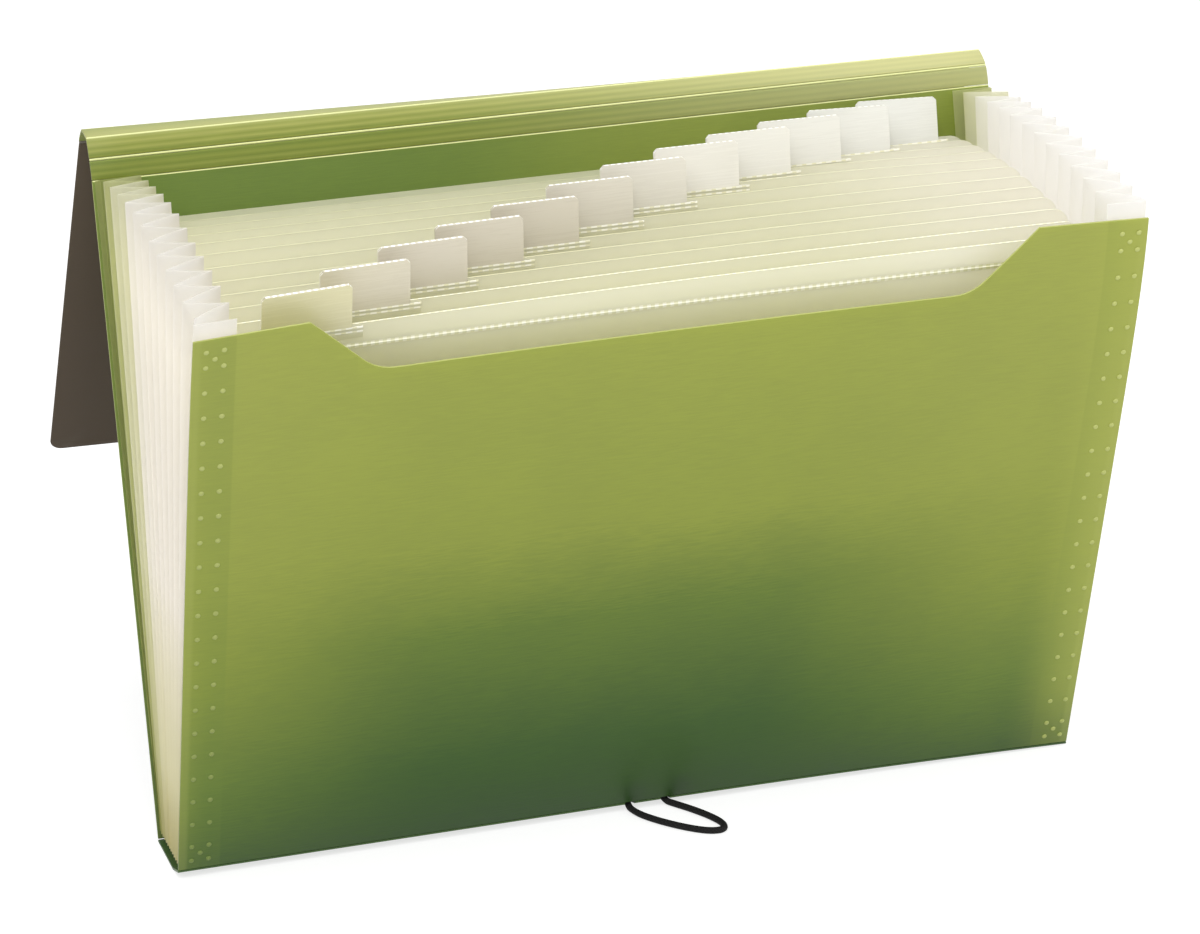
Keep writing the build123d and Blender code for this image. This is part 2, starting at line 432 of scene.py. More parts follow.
class Bench:
    """The modelling bench: one piece at a time is taken, cut, shaped and finished."""

    MERGE_GAP = 1e-6
    SKIN_GAP = 1e-7
    FLAT_DEGREES = 0.4
    RIM_DEGREES = 50.0
    FACING = 0.8

    @staticmethod
    def take(piece: bpy.types.Object) -> None:
        """Select one piece alone and make it active.

        Args:
            piece: The piece.
        """
        bpy.ops.object.select_all(action="DESELECT")
        piece.select_set(True)
        bpy.context.view_layer.objects.active = piece

    @staticmethod
    def begin(piece: bpy.types.Object) -> None:
        """Open a piece for editing with everything selected.

        Args:
            piece: The piece.
        """
        Bench.take(piece)
        bpy.ops.object.mode_set(mode="EDIT")
        bpy.ops.mesh.select_all(action="SELECT")

    @staticmethod
    def end() -> None:
        """Close the piece that is being edited."""
        bpy.ops.object.mode_set(mode="OBJECT")

    @staticmethod
    def fresh(name: str) -> bpy.types.Object:
        """Name the active piece, the one just added or joined.

        Args:
            name: Its name.

        Returns:
            The piece.
        """
        piece = bpy.context.view_layer.objects.active
        piece.name = name
        piece.data.name = name
        return piece

    @staticmethod
    def copy_of(node: str, name: str) -> bpy.types.Object:
        """Copy a CAD node as the blank for a piece.

        Args:
            node: The CAD node's name.
            name: The new piece's name.

        Returns:
            The copy, merged and with its flat faces whole.
        """
        piece = bpy.data.objects.new(name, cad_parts[node].data.copy())
        piece.data.name = name
        piece.data.materials.clear()
        bpy.context.scene.collection.objects.link(piece)
        Bench.begin(piece)
        bpy.ops.mesh.customdata_custom_splitnormals_clear()
        bpy.ops.mesh.remove_doubles(threshold=Bench.MERGE_GAP)
        bpy.ops.mesh.dissolve_limited(angle_limit=math.radians(Bench.FLAT_DEGREES))
        Bench.end()
        return piece

    @staticmethod
    def cut(piece: bpy.types.Object, points: Sequence[Vector], normal: Vector) -> None:
        """Cut a piece along parallel planes.

        Args:
            piece: The piece.
            points: A point on each plane.
            normal: Direction square to the planes.
        """
        Bench.begin(piece)
        for point in points:
            bpy.ops.mesh.select_all(action="SELECT")
            bpy.ops.mesh.bisect(plane_co=point, plane_no=normal, threshold=Bench.MERGE_GAP)
        Bench.end()

    @staticmethod
    def cut_columns(piece: bpy.types.Object, half_width: float, columns: int) -> None:
        """Cut a sheet into even columns from end to end."""
        places = [Vector((half_width * (2 * k / columns - 1), 0, 0)) for k in range(1, columns)]
        Bench.cut(piece, places, ACROSS)

    @staticmethod
    def move(piece: bpy.types.Object, rule: Callable[[Vector], Vector]) -> None:
        """Move every point of a piece by a rule.

        Args:
            piece: The piece.
            rule: Gives the new place of a point.
        """
        for vertex in piece.data.vertices:
            vertex.co = rule(vertex.co.copy())
        piece.data.update()

    @staticmethod
    def modify(piece: bpy.types.Object, kind: str, **settings: object) -> None:
        """Add one modifier, set it and apply it.

        Args:
            piece: The piece.
            kind: The modifier's type.
            settings: Properties of the modifier.
        """
        Bench.take(piece)
        modifier = piece.modifiers.new(kind.lower(), kind)
        for key, value in settings.items():
            setattr(modifier, key, value)
        bpy.ops.object.modifier_apply(modifier=modifier.name)

    @staticmethod
    def round_rims(piece: bpy.types.Object, width: float) -> None:
        """Round a sheet's sharp rims."""
        limit = math.radians(Bench.RIM_DEGREES)
        Bench.modify(piece, "BEVEL", width=width, segments=2, limit_method="ANGLE", angle_limit=limit)

    @staticmethod
    def smooth(piece: bpy.types.Object, degrees: float = 34.0) -> None:
        """Shade a piece smooth up to an angle."""
        Bench.take(piece)
        bpy.ops.object.shade_smooth_by_angle(angle=math.radians(degrees))

    @staticmethod
    def turn_out(piece: bpy.types.Object) -> None:
        """Merge a piece's doubles and turn its faces outwards.

        Args:
            piece: The piece.
        """
        Bench.begin(piece)
        bpy.ops.mesh.remove_doubles(threshold=Bench.SKIN_GAP)
        bpy.ops.mesh.normals_make_consistent(inside=False)
        Bench.end()

    @staticmethod
    def grid(name: str, columns: int, rows: int, rule: Callable[[float, float], Vector]) -> bpy.types.Object:
        """Lay a grid out on a surface.

        Args:
            name: The piece's name.
            columns: Faces across.
            rows: Faces up.
            rule: Gives the point at a share across and a share up.

        Returns:
            The thin sheet, its map running across and up.
        """
        bpy.ops.object.select_all(action="DESELECT")
        bpy.ops.mesh.primitive_grid_add(x_subdivisions=columns, y_subdivisions=rows, size=1.0)
        piece = Bench.fresh(name)
        Bench.move(piece, lambda co: rule(co.x + 0.5, co.y + 0.5))
        return piece

    @staticmethod
    def thicken(piece: bpy.types.Object, thickness: float) -> None:
        """Give a thin sheet its thickness, half to each face."""
        Bench.modify(piece, "SOLIDIFY", thickness=thickness, offset=0.0, use_even_offset=False)
        Bench.turn_out(piece)

    @staticmethod
    def join(name: str, parts: Sequence[bpy.types.Object]) -> bpy.types.Object:
        """Join copies into one piece.

        Args:
            name: The joined piece's name.
            parts: The copies.

        Returns:
            The joined piece.
        """
        bpy.ops.object.select_all(action="DESELECT")
        for part in parts:
            part.select_set(True)
        bpy.context.view_layer.objects.active = parts[0]
        bpy.ops.object.join()
        return Bench.fresh(name)

    @staticmethod
    def paint(
        piece: bpy.types.Object, face: bpy.types.Material, rim: bpy.types.Material, normal: Vector,
    ) -> None:
        """Give a sheet one finish on its faces and another on its rims.

        Args:
            piece: The sheet.
            face: Finish of the faces.
            rim: Finish of the rims.
            normal: Direction square to the sheet.
        """
        piece.data.materials.clear()
        piece.data.materials.append(face)
        piece.data.materials.append(rim)
        for polygon in piece.data.polygons:
            polygon.material_index = 0 if abs(polygon.normal.dot(normal)) > Bench.FACING else 1

    @staticmethod
    def dress(piece: bpy.types.Object, finish: bpy.types.Material) -> None:
        """Give a piece, or a CAD node, one finish all over.

        Args:
            piece: The piece or node.
            finish: The finish.
        """
        piece.data.materials.clear()
        piece.data.materials.append(finish)
        for polygon in piece.data.polygons:
            polygon.material_index = 0


@dataclass(frozen=True)
class Finish:
    """The start that every finish shares."""

    name: str

    def open(self) -> tuple[bpy.types.Material, Wiring, bpy.types.Node, bpy.types.NodeSocket]:
        """Start a material.

        Returns:
            The material, its wiring, its shader and the point on the piece.
        """
        material = bpy.data.materials.new(self.name)
        material.use_nodes = True
        w = Wiring(material.node_tree)
        shader = material.node_tree.nodes["Principled BSDF"]
        point = w.add("ShaderNodeTexCoord").outputs["Object"]
        return material, w, shader, point

    @staticmethod
    def chart(w: Wiring) -> bpy.types.NodeSocket:
        """Give the place on the piece's own map."""
        return w.add("ShaderNodeTexCoord").outputs["UV"]

    @staticmethod
    def streaks(w: Wiring, point: bpy.types.NodeSocket, stretch: Triple, scale: float) -> bpy.types.NodeOutputs:
        """Place the drawn streaks in a material.

        Args:
            w: The material's wiring.
            point: The point on the piece.
            stretch: How the pattern is stretched along each axis.
            scale: The pattern's scale.

        Returns:
            The group's tone and height.
        """
        node = w.add("ShaderNodeGroup", node_tree=bpy.data.node_groups["drawn_streaks"])
        w.put(point, node.inputs["Point"])
        node.inputs["Stretch"].default_value = stretch
        node.inputs["Scale"].default_value = scale
        return node.outputs

    @staticmethod
    def shine_through(
        material: bpy.types.Material, w: Wiring, shader: bpy.types.Node,
        colour: bpy.types.NodeSocket, share: float,
    ) -> None:
        """Let a thin sheet pass some light on to what is behind it.

        Args:
            material: The material.
            w: Its wiring.
            shader: Its shader.
            colour: Its colour's socket.
            share: Share of the light that goes through.
        """
        thin = w.add("ShaderNodeBsdfTranslucent")
        w.put(colour, thin.inputs["Color"])
        both = w.add("ShaderNodeMixShader")
        both.inputs[0].default_value = share
        w.put(shader.outputs[0], both.inputs[1])
        w.put(thin.outputs[0], both.inputs[2])
        w.put(both.outputs[0], material.node_tree.nodes["Material Output"].inputs["Surface"])

    @staticmethod
    def bump(
        w: Wiring, shader: bpy.types.Node, height: bpy.types.NodeSocket, strength: float, distance: float,
    ) -> None:
        """Raise a finish's surface a little.

        Args:
            w: The material's wiring.
            shader: The shader.
            height: The height's socket.
            strength: Strength of the bump.
            distance: Depth of the bump in metres.
        """
        node = w.add("ShaderNodeBump")
        node.inputs["Strength"].default_value = strength
        node.inputs["Distance"].default_value = distance
        w.put(height, node.inputs["Height"])
        w.put(node.outputs["Normal"], shader.inputs["Normal"])


@dataclass(frozen=True, kw_only=True)
class CoverFinish(Finish):
    """Green translucent cover sheet, paler where light comes through from above, with painted shade across its
    middle and painted shadows of the elastic's ends.
    """

    middle: Stops
    flank: Stops
    low: float
    high: float
    # Painted shade: where the darker middle is centred, and how far out it fades to the paler flanks.
    dark_middle: float = -0.019
    flank_range: Pair = (0.050, 0.158)
    stretch: Triple = (0.30, 1.0, 4.6)
    scale: float = 420.0
    wobble: float = 0.035
    grain: float = 0.08
    grain_stops: Stops = ((0.0, (70, 84, 30)), (1.0, (196, 200, 120)))
    band_edges: Pair = (0.1505, 0.1622)
    band_tint: Colour = (104, 126, 50)
    band_share: float = 0.20
    margin_tint: Colour = (176, 180, 104)
    margin_share: float = 0.16
    edge_light: float = 0.0
    edge_shift: float = 0.008
    edge_range: Pair = (0.146, 0.174)
    edge_rise: float = 0.14
    edge_foot: float = 0.5
    edge_tint: Colour = (172, 178, 82)
    # Painted shadows of the elastic's ends behind the sheet, with their tint, radii and strength.
    cord_shadows: tuple[Triple, ...] = ()
    cord_shadow_tint: Colour = (52, 76, 42)
    cord_shadow_radii: Pair = (0.001, 0.0075)
    cord_shadow_share: float = 0.75
    rough: Pair = (0.34, 0.46)
    gloss: float = 0.25
    bump_strength: float = 0.12
    bump_depth: float = 0.0004

    def material(self) -> bpy.types.Material:
        """Build the cover sheet's material.

        Returns:
            The material.
        """
        material, w, shader, point = self.open()
        parts = w.split(point)
        x, height = parts["X"], w.fade(parts["Z"], self.low, self.high, way="LINEAR")
        streaks = self.streaks(w, point, self.stretch, self.scale)
        waver = w.math("MULTIPLY", w.math("SUBTRACT", streaks["Tone"], 0.5), self.wobble)
        level = w.math("ADD", height, waver)
        # Painted shade: darker across the middle, where the dim inside shows through the sheet, paler on the
        # flanks.
        flank = w.fade(w.math("ABSOLUTE", w.math("SUBTRACT", x, self.dark_middle)), *self.flank_range)
        colour = w.mix(flank, w.ramp(level, self.middle), w.ramp(level, self.flank))
        colour = w.mix(self.grain, colour, w.ramp(streaks["Tone"], self.grain_stops), "OVERLAY")
        colour = self.welded(w, point, colour)
        if self.edge_light:
            side = w.fade(w.math("ABSOLUTE", w.math("ADD", x, self.edge_shift)), *self.edge_range)
            rise = w.fade(height, 0.0, self.edge_rise, self.edge_foot * self.edge_light, self.edge_light)
            colour = w.mix(w.math("MULTIPLY", side, rise), colour, tint(self.edge_tint))
        # Painted shadows of the elastic's ends behind the sheet: two dark spots just above the front fold.
        for centre in self.cord_shadows:
            mask = w.spot(point, Vector(centre), *self.cord_shadow_radii)
            colour = w.mix(w.math("MULTIPLY", mask, self.cord_shadow_share), colour, tint(self.cord_shadow_tint))
        w.put(colour, shader.inputs["Base Color"])
        w.put(w.fade(streaks["Tone"], 0.0, 1.0, *self.rough), shader.inputs["Roughness"])
        shader.inputs["Specular IOR Level"].default_value = self.gloss
        self.bump(w, shader, streaks["Height"], self.bump_strength, self.bump_depth)
        return material

    def welded(
        self, w: Wiring, point: bpy.types.NodeSocket, colour: bpy.types.NodeSocket,
    ) -> bpy.types.NodeSocket:
        """Darken a colour along the welded bands and lighten it on the margins outside them.

        Args:
            w: The material's wiring.
            point: The point on the piece.
            colour: The colour.

        Returns:
            The new colour's socket.
        """
        band = w.add("ShaderNodeGroup", node_tree=bpy.data.node_groups["side_band"])
        w.put(point, band.inputs["Point"])
        band.inputs["Inner"].default_value, band.inputs["Outer"].default_value = self.band_edges
        inside = w.math("MULTIPLY", band.outputs["Band"], self.band_share)
        outside = w.math("MULTIPLY", band.outputs["Margin"], self.margin_share)
        colour = w.mix(inside, colour, tint(self.band_tint))
        return w.mix(outside, colour, tint(self.margin_tint))


@dataclass(frozen=True, kw_only=True)
class PlasticFinish(Finish):
    """What the plain plastic sheets share: grain, gloss and light that passes through."""

    stops: Stops
    rough: Pair = (0.34, 0.46)
    grain: float = 0.10
    greys: tuple[int, int] = (96, 160)
    alpha: float = 1.0
    passes: float = 0.0
    gloss: float = 0.35
    right_share: float = 0.0
    right_light_tint: Colour = (254, 252, 246)
    right_range: Pair = (0.04, 0.15)
    bump_strength: float = 0.12
    bump_depth: float = 0.0003

    def toned(
        self, w: Wiring, level: bpy.types.NodeSocket, x: bpy.types.NodeSocket, streaks: bpy.types.NodeOutputs,
    ) -> bpy.types.NodeSocket:
        """Colour a sheet by its stops, with the streaks' grain and painted light that pales its right end.

        Args:
            w: The material's wiring.
            level: Share along the stops.
            x: Place across the sheet.
            streaks: The streaks' tone and height.

        Returns:
            The colour's socket.
        """
        dark, pale = self.greys
        colour = w.ramp(level, self.stops)
        tone = w.ramp(streaks["Tone"], ((0.0, (dark, dark, dark)), (1.0, (pale, pale, pale))))
        colour = w.mix(self.grain, colour, tone, "OVERLAY")
        # Painted light: paler towards the right end, where more light falls.
        if self.right_share:
            share = w.fade(x, *self.right_range, 0.0, self.right_share)
            colour = w.mix(share, colour, tint(self.right_light_tint))
        return colour

    def close(
        self, material: bpy.types.Material, w: Wiring, shader: bpy.types.Node,
        colour: bpy.types.NodeSocket, streaks: bpy.types.NodeOutputs,
    ) -> bpy.types.Material:
        """Wire a sheet's colour and streaks into its shader.

        Args:
            material: The material.
            w: Its wiring.
            shader: Its shader.
            colour: Its colour's socket.
            streaks: The streaks' tone and height.

        Returns:
            The finished material.
        """
        w.put(colour, shader.inputs["Base Color"])
        w.put(w.fade(streaks["Tone"], 0.0, 1.0, *self.rough), shader.inputs["Roughness"])
        shader.inputs["Alpha"].default_value = self.alpha
        shader.inputs["Specular IOR Level"].default_value = self.gloss
        if self.passes:
            self.shine_through(material, w, shader, colour, self.passes)
        self.bump(w, shader, streaks["Height"], self.bump_strength, self.bump_depth)
        return material


@dataclass(frozen=True, kw_only=True)
class SheetFinish(PlasticFinish):
    """A plain plastic sheet: a colour that changes along one axis, with drawn streaks."""

    low: float = 0.0
    high: float
    along: str = "Z"
    stretch: Triple = (0.16, 1.0, 4.0)
    scale: float = 420.0

    def material(self) -> bpy.types.Material:
        """Build the sheet's material.

        Returns:
            The material.
        """
        material, w, shader, point = self.open()
        parts = w.split(point)
        level = w.fade(parts[self.along], self.low, self.high, way="LINEAR")
        streaks = self.streaks(w, point, self.stretch, self.scale)
        return self.close(material, w, shader, self.toned(w, level, parts["X"], streaks), streaks)


@dataclass(frozen=True, kw_only=True)
class MappedFinish(PlasticFinish):
    """A plastic sheet coloured up its own map, with a pale line where it is creased: the fold's own paler
    plastic with a painted highlight.
    """

    crease_tint: Colour = (246, 243, 232)
    crease_share: float = 0.0
    crease_width: float = 0.06
    stretch: Triple = (30.0, 1.0, 1.0)
    scale: float = 3.0
    greys: tuple[int, int] = (104, 152)
    right_light_tint: Colour = (228, 222, 170)
    right_range: Pair = (0.3, 1.0)
    bump_strength: float = 0.15
    bump_depth: float = 0.0004

    def material(self) -> bpy.types.Material:
        """Build the material.

        Returns:
            The material.
        """
        material, w, shader, _ = self.open()
        chart = self.chart(w)
        parts = w.split(chart)
        streaks = self.streaks(w, chart, self.stretch, self.scale)
        colour = self.toned(w, parts["Y"], parts["X"], streaks)
        # The pale crease line: the fold's own paler plastic with a painted highlight along it.
        middle = w.math("ABSOLUTE", w.math("SUBTRACT", parts["X"], 0.5))
        crease = w.fade(middle, 0.0, self.crease_width, self.crease_share, 0.0)
        colour = w.mix(crease, colour, tint(self.crease_tint))
        return self.close(material, w, shader, colour, streaks)


@dataclass(frozen=True)
class DottedFinish(Finish):
    """A row of pale dots along a thin edge or pressed line: a painted highlight, broken into dots."""

    ground: Colour
    dot: Colour
    pitch: float
    fill: float = 0.0
    dot_range: Pair = (-0.3, 0.4)
    rough: Pair = (0.46, 0.3)
    gloss: float = 0.35
    bump_strength: float = 0.1
    bump_depth: float = 0.0002

    def material(self) -> bpy.types.Material:
        """Build the material.

        Returns:
            The material.
        """
        material, w, shader, point = self.open()
        wave = w.math("SINE", w.math("MULTIPLY", w.split(point)["X"], math.tau / self.pitch))
        low, high = self.dot_range
        dots = w.fade(wave, low - self.fill, high - self.fill)
        w.put(w.mix(dots, tint(self.ground), tint(self.dot)), shader.inputs["Base Color"])
        w.put(w.fade(dots, 0.0, 1.0, *self.rough), shader.inputs["Roughness"])
        shader.inputs["Specular IOR Level"].default_value = self.gloss
        self.bump(w, shader, dots, self.bump_strength, self.bump_depth)
        return material


@dataclass(frozen=True)
class BraidFinish(Finish):
    """Black braided cover of a round elastic, along the cord's own map."""

    turns: float = 64.0
    strands: float = 6.0
    yarn: Stops = ((0.0, (6, 6, 6)), (1.0, (24, 23, 22)))
    yarn_range: Pair = (-0.2, 1.0)
    rough: float = 0.8
    gloss: float = 0.3
    bump_strength: float = 0.6
    bump_depth: float = 0.0004

    def material(self) -> bpy.types.Material:
        """Build the braid's material.

        Returns:
            The material.
        """
        material, w, shader, _ = self.open()
        parts = w.split(self.chart(w))
        along = w.math("MULTIPLY", parts["X"], self.turns * math.tau)
        around = w.math("MULTIPLY", parts["Y"], self.strands * math.tau)
        one = w.math("SINE", w.math("ADD", along, around))
        two = w.math("SINE", w.math("SUBTRACT", along, around))
        share = w.fade(w.math("MAXIMUM", one, two), *self.yarn_range)
        w.put(w.ramp(share, self.yarn), shader.inputs["Base Color"])
        shader.inputs["Roughness"].default_value = self.rough
        shader.inputs["Specular IOR Level"].default_value = self.gloss
        self.bump(w, shader, share, self.bump_strength, self.bump_depth)
        return material


@dataclass(frozen=True)
class MouldedFinish(Finish):
    """Moulded plastic with a fine eroded grain."""

    dark: Colour
    pale: Colour
    rough: Pair
    scale: float = 2600.0
    detail: float = 3.0
    grain_range: Pair = (0.3, 0.7)
    bump_strength: float = 0.2
    bump_depth: float = 0.0002

    def material(self) -> bpy.types.Material:
        """Build the material.

        Returns:
            The material.
        """
        material, w, shader, point = self.open()
        noise = w.add("ShaderNodeTexNoise")
        w.put(point, noise.inputs["Vector"])
        noise.inputs["Scale"].default_value = self.scale
        noise.inputs["Detail"].default_value = self.detail
        low, high = self.grain_range
        w.put(w.ramp(noise.outputs[0], ((low, self.dark), (high, self.pale))), shader.inputs["Base Color"])
        w.put(w.fade(noise.outputs[0], low, high, *self.rough), shader.inputs["Roughness"])
        self.bump(w, shader, noise.outputs[0], self.bump_strength, self.bump_depth)
        return material


class Finishes:
    """Every finish of the folder, built once."""

    # Painted shade: the pleats are darker and yellower at their foot.
    PLEAT_FOOT = (233, 231, 202)
    PLEAT_LOW = (247, 247, 235)
    # Painted green light: pleats beside the green covers are tinted greener by light through them.
    GREENER = ((247, 246, 230), (234, 235, 200), (210, 215, 156))

    def __init__(self) -> None:
        """Build the shared effects, then the finishes."""
        Effects.drawn_streaks()
        Effects.side_band()
        self.build_covers()
        self.build_spine()
        self.build_pockets()
        self.gussets_right = [
            self.pleat_finish(f"right_{k}", colour)
            for k, colour in enumerate(((255, 254, 252), *self.GREENER[:2]))
        ]
        self.gussets_left = [
            self.pleat_finish(f"left_{k}", colour, fall=15, alpha=0.26, crease=0.0)
            for k, colour in enumerate(((255, 253, 249), *self.GREENER))
        ]
        self.braid = BraidFinish("elastic_black").material()
        self.stop = MouldedFinish("stop_black", (22, 22, 22), (36, 35, 34), (0.44, 0.58)).material()
        self.button = MouldedFinish("button_dark", (44, 39, 35), (62, 56, 50), (0.32, 0.46)).material()

    def build_covers(self) -> None:
        """Build the finishes of the covers, the bottom and their weld dots."""
        # Painted light and shade: paler towards the top where light comes through, darker across the middle.
        self.front = CoverFinish(
            "front_cover_green",
            middle=(
                (0.0, (50, 80, 34)), (0.15, (60, 90, 37)), (0.40, (98, 120, 47)),
                (0.57, (139, 150, 63)), (1.0, (154, 162, 74)),
            ),
            flank=(
                (0.0, (70, 98, 42)), (0.16, (103, 125, 50)), (0.40, (135, 147, 59)),
                (0.60, (147, 156, 69)), (1.0, (156, 163, 78)),
            ),
            low=0.003, high=0.216, edge_light=0.55,
            # Painted shadows of the elastic's ends, seen through the sheet.
            cord_shadows=((-0.0011, -0.0165, 0.0075), (0.0160, -0.0165, 0.0075)),
        ).material()
        # Painted light: the cover's inner face is paler towards the top, as if lit through the sheet.
        self.front_inner_glow = SheetFinish(
            "front_cover_inner", stops=((0.0, (88, 112, 48)), (0.6, (178, 184, 92)), (1.0, (212, 214, 136))),
            low=0.003, high=0.216,
        ).material()
        # Painted shade and light: the back cover is darker low down and left of the middle, paler towards the
        # top and the right.
        self.back = CoverFinish(
            "back_cover_green",
            middle=((0.0, (54, 82, 38)), (0.30, (78, 104, 46)), (0.75, (100, 121, 53)), (1.0, (102, 123, 55))),
            flank=((0.0, (62, 92, 42)), (0.30, (96, 118, 50)), (0.75, (126, 140, 62)), (1.0, (130, 143, 64))),
            low=0.0, high=0.224, dark_middle=-0.105,
        ).material()
        self.bottom = SheetFinish(
            "bottom_green", stops=((0.0, (58, 86, 43)), (1.0, (72, 100, 50))), high=0.004,
        ).material()
        # Painted light: the rims pale towards the top, like the cover's faces.
        self.rim = SheetFinish(
            "cover_rim", stops=((0.0, (112, 132, 64)), (1.0, (172, 178, 100))), high=0.22,
        ).material()
        # Painted light: the dots pale towards the top like the cover, and towards the right end.
        self.weld = SheetFinish(
            "weld_dot_green", stops=((0.0, (112, 132, 62)), (0.5, (158, 168, 92)), (1.0, (182, 189, 112))),
            high=0.2, right_light_tint=(192, 198, 114), right_share=0.6,
        ).material()

    def build_spine(self) -> None:
        """Build the finishes of the scored strips and the flap."""
        # Painted shading: each crowned strip is darker low down and paler higher up, and paler towards the
        # right end.
        self.strip = MappedFinish(
            "hinge_strip_olive",
            stops=(
                (0.0, (138, 149, 66)), (0.16, (124, 138, 57)), (0.30, (142, 151, 70)), (0.46, (120, 135, 54)),
                (0.64, (136, 146, 63)), (0.82, (116, 132, 52)), (1.0, (128, 141, 59)),
            ),
            gloss=0.25, right_share=0.35, grain=0.34, stretch=(0.25, 1.7, 1.0),
        ).material()
        # Painted shading and highlight: bands across the bent strips, brightest near the ridge's top, paler
        # towards the right end.
        self.ridge = MappedFinish(
            "ridge_strip_olive",
            stops=(
                (0.0, (146, 154, 70)), (0.05, (126, 139, 57)), (0.10, (156, 161, 80)),
                (0.15, (136, 146, 62)), (0.21, (162, 166, 86)), (0.26, (146, 154, 72)),
                (0.32, (172, 175, 100)), (0.37, (178, 180, 114)), (0.67, (150, 158, 80)),
                (0.80, (136, 146, 63)), (0.90, (144, 152, 70)), (1.0, (132, 144, 62)),
            ),
            gloss=0.25, right_share=0.45, grain=0.34, stretch=(0.25, 4.8, 1.0),
        ).material()
        # The score lines' own paler plastic, with a painted highlight along them.
        self.score = SheetFinish(
            "score_line_pale", stops=((0.0, (214, 218, 150)), (1.0, (224, 227, 166))), low=0.2, high=0.24,
        ).material()
        self.flap = SheetFinish(
            "flap_brown", stops=((0.0, (91, 79, 66)), (1.0, (98, 86, 73))), low=0.08, high=0.235,
            rough=(0.56, 0.68), stretch=(0.3, 1.0, 1.0), scale=700.0, grain=0.14, gloss=0.18,
        ).material()
        self.flap_rim = SheetFinish(
            "flap_rim", stops=((0.0, (96, 88, 78)), (1.0, (116, 108, 96))), low=0.08, high=0.235,
        ).material()

    def build_pockets(self) -> None:
        """Build the finishes of the dividers, the tabs and their labels."""
        # Painted shade and light: greener and darker deep in the pockets, paler near the top where light falls
        # in, whiter towards the right end.
        self.divider = SheetFinish(
            "divider_cream",
            stops=(
                (0.0, (176, 184, 124)), (0.6, (235, 234, 204)), (0.88, (249, 248, 230)), (1.0, (247, 246, 232)),
            ),
            high=0.216, alpha=0.62, passes=0.5, right_share=0.8,
        ).material()
        # Painted shade: the rims are darker towards the foot, like the sheets.
        self.divider_rim = SheetFinish(
            "divider_rim", stops=((0.0, (190, 188, 146)), (1.0, (216, 214, 182))), high=0.216, right_share=0.35,
        ).material()
        # Painted highlight: pale dots along the pressed line and the top edges of the front sheets.
        self.pressed = DottedFinish("pressed_line_dotted_highlight", (230, 228, 196), (246, 244, 226), 0.0027).material()
        # Painted highlight: pale dashes along the tabs' feet.
        self.tab_foot = DottedFinish(
            "tab_foot_dashed_highlight", (236, 233, 204), (253, 251, 240), 0.0037, 0.3,
        ).material()
        # Painted light: the tabs are tinted by their place in the fan, yellower at the front by light through
        # the green cover, greyer midway, paler at the back.
        self.tab = SheetFinish(
            "tab_clear",
            stops=(
                (0.0, (234, 229, 192)), (0.12, (230, 223, 206)), (0.40, (222, 215, 198)),
                (0.65, (248, 245, 236)), (1.0, (242, 242, 236)),
            ),
            low=-0.058, high=0.060, along="Y", rough=(0.22, 0.32), alpha=0.78,
        ).material()
        # Painted highlight: pale dots along the tabs' rims.
        self.tab_rim_highlight = DottedFinish("tab_rim_highlight", (212, 208, 192), (254, 253, 249), 0.0023, 0.25).material()
        # Painted light: the labels are tinted by their place in the fan, like the tabs.
        self.label = SheetFinish(
            "label_paper",
            stops=(
                (0.0, (236, 231, 196)), (0.12, (232, 226, 208)), (0.40, (226, 219, 202)),
                (0.65, (248, 245, 236)), (1.0, (244, 243, 237)),
            ),
            low=-0.058, high=0.060, along="Y", rough=(0.75, 0.9),
            stretch=(1.0, 1.0, 1.0), scale=1800.0, grain=0.12,
        ).material()

    @classmethod
    def pleat_finish(
        cls, name: str, colour: Colour, fall: int = 7, alpha: float = 0.40, crease: float = 0.25,
    ) -> bpy.types.Material:
        """Make one finish of the pleated sides.

        Args:
            name: What the finish's name ends in.
            colour: Its screen colour halfway up.
            fall: How much darker it is at the top, painted shade.
            alpha: How much it hides what is behind it.
            crease: Share of the pale line along the outer fold.

        Returns:
            The material, darker and yellower towards the foot: painted shade.
        """
        foot, low = (
            tuple(round(part * share / FULL) for part, share in zip(plain, colour))
            for plain in (cls.PLEAT_FOOT, cls.PLEAT_LOW)
        )
        top = tuple(part - fall for part in colour)
        return MappedFinish(
            f"gusset_frost_{name}",
            stops=((0.0, foot), (0.08, low), (0.30, colour), (0.70, colour), (1.0, top)),
            alpha=alpha, rough=(0.40, 0.52), crease_share=crease, grain=0.10, passes=0.6,
        ).material()


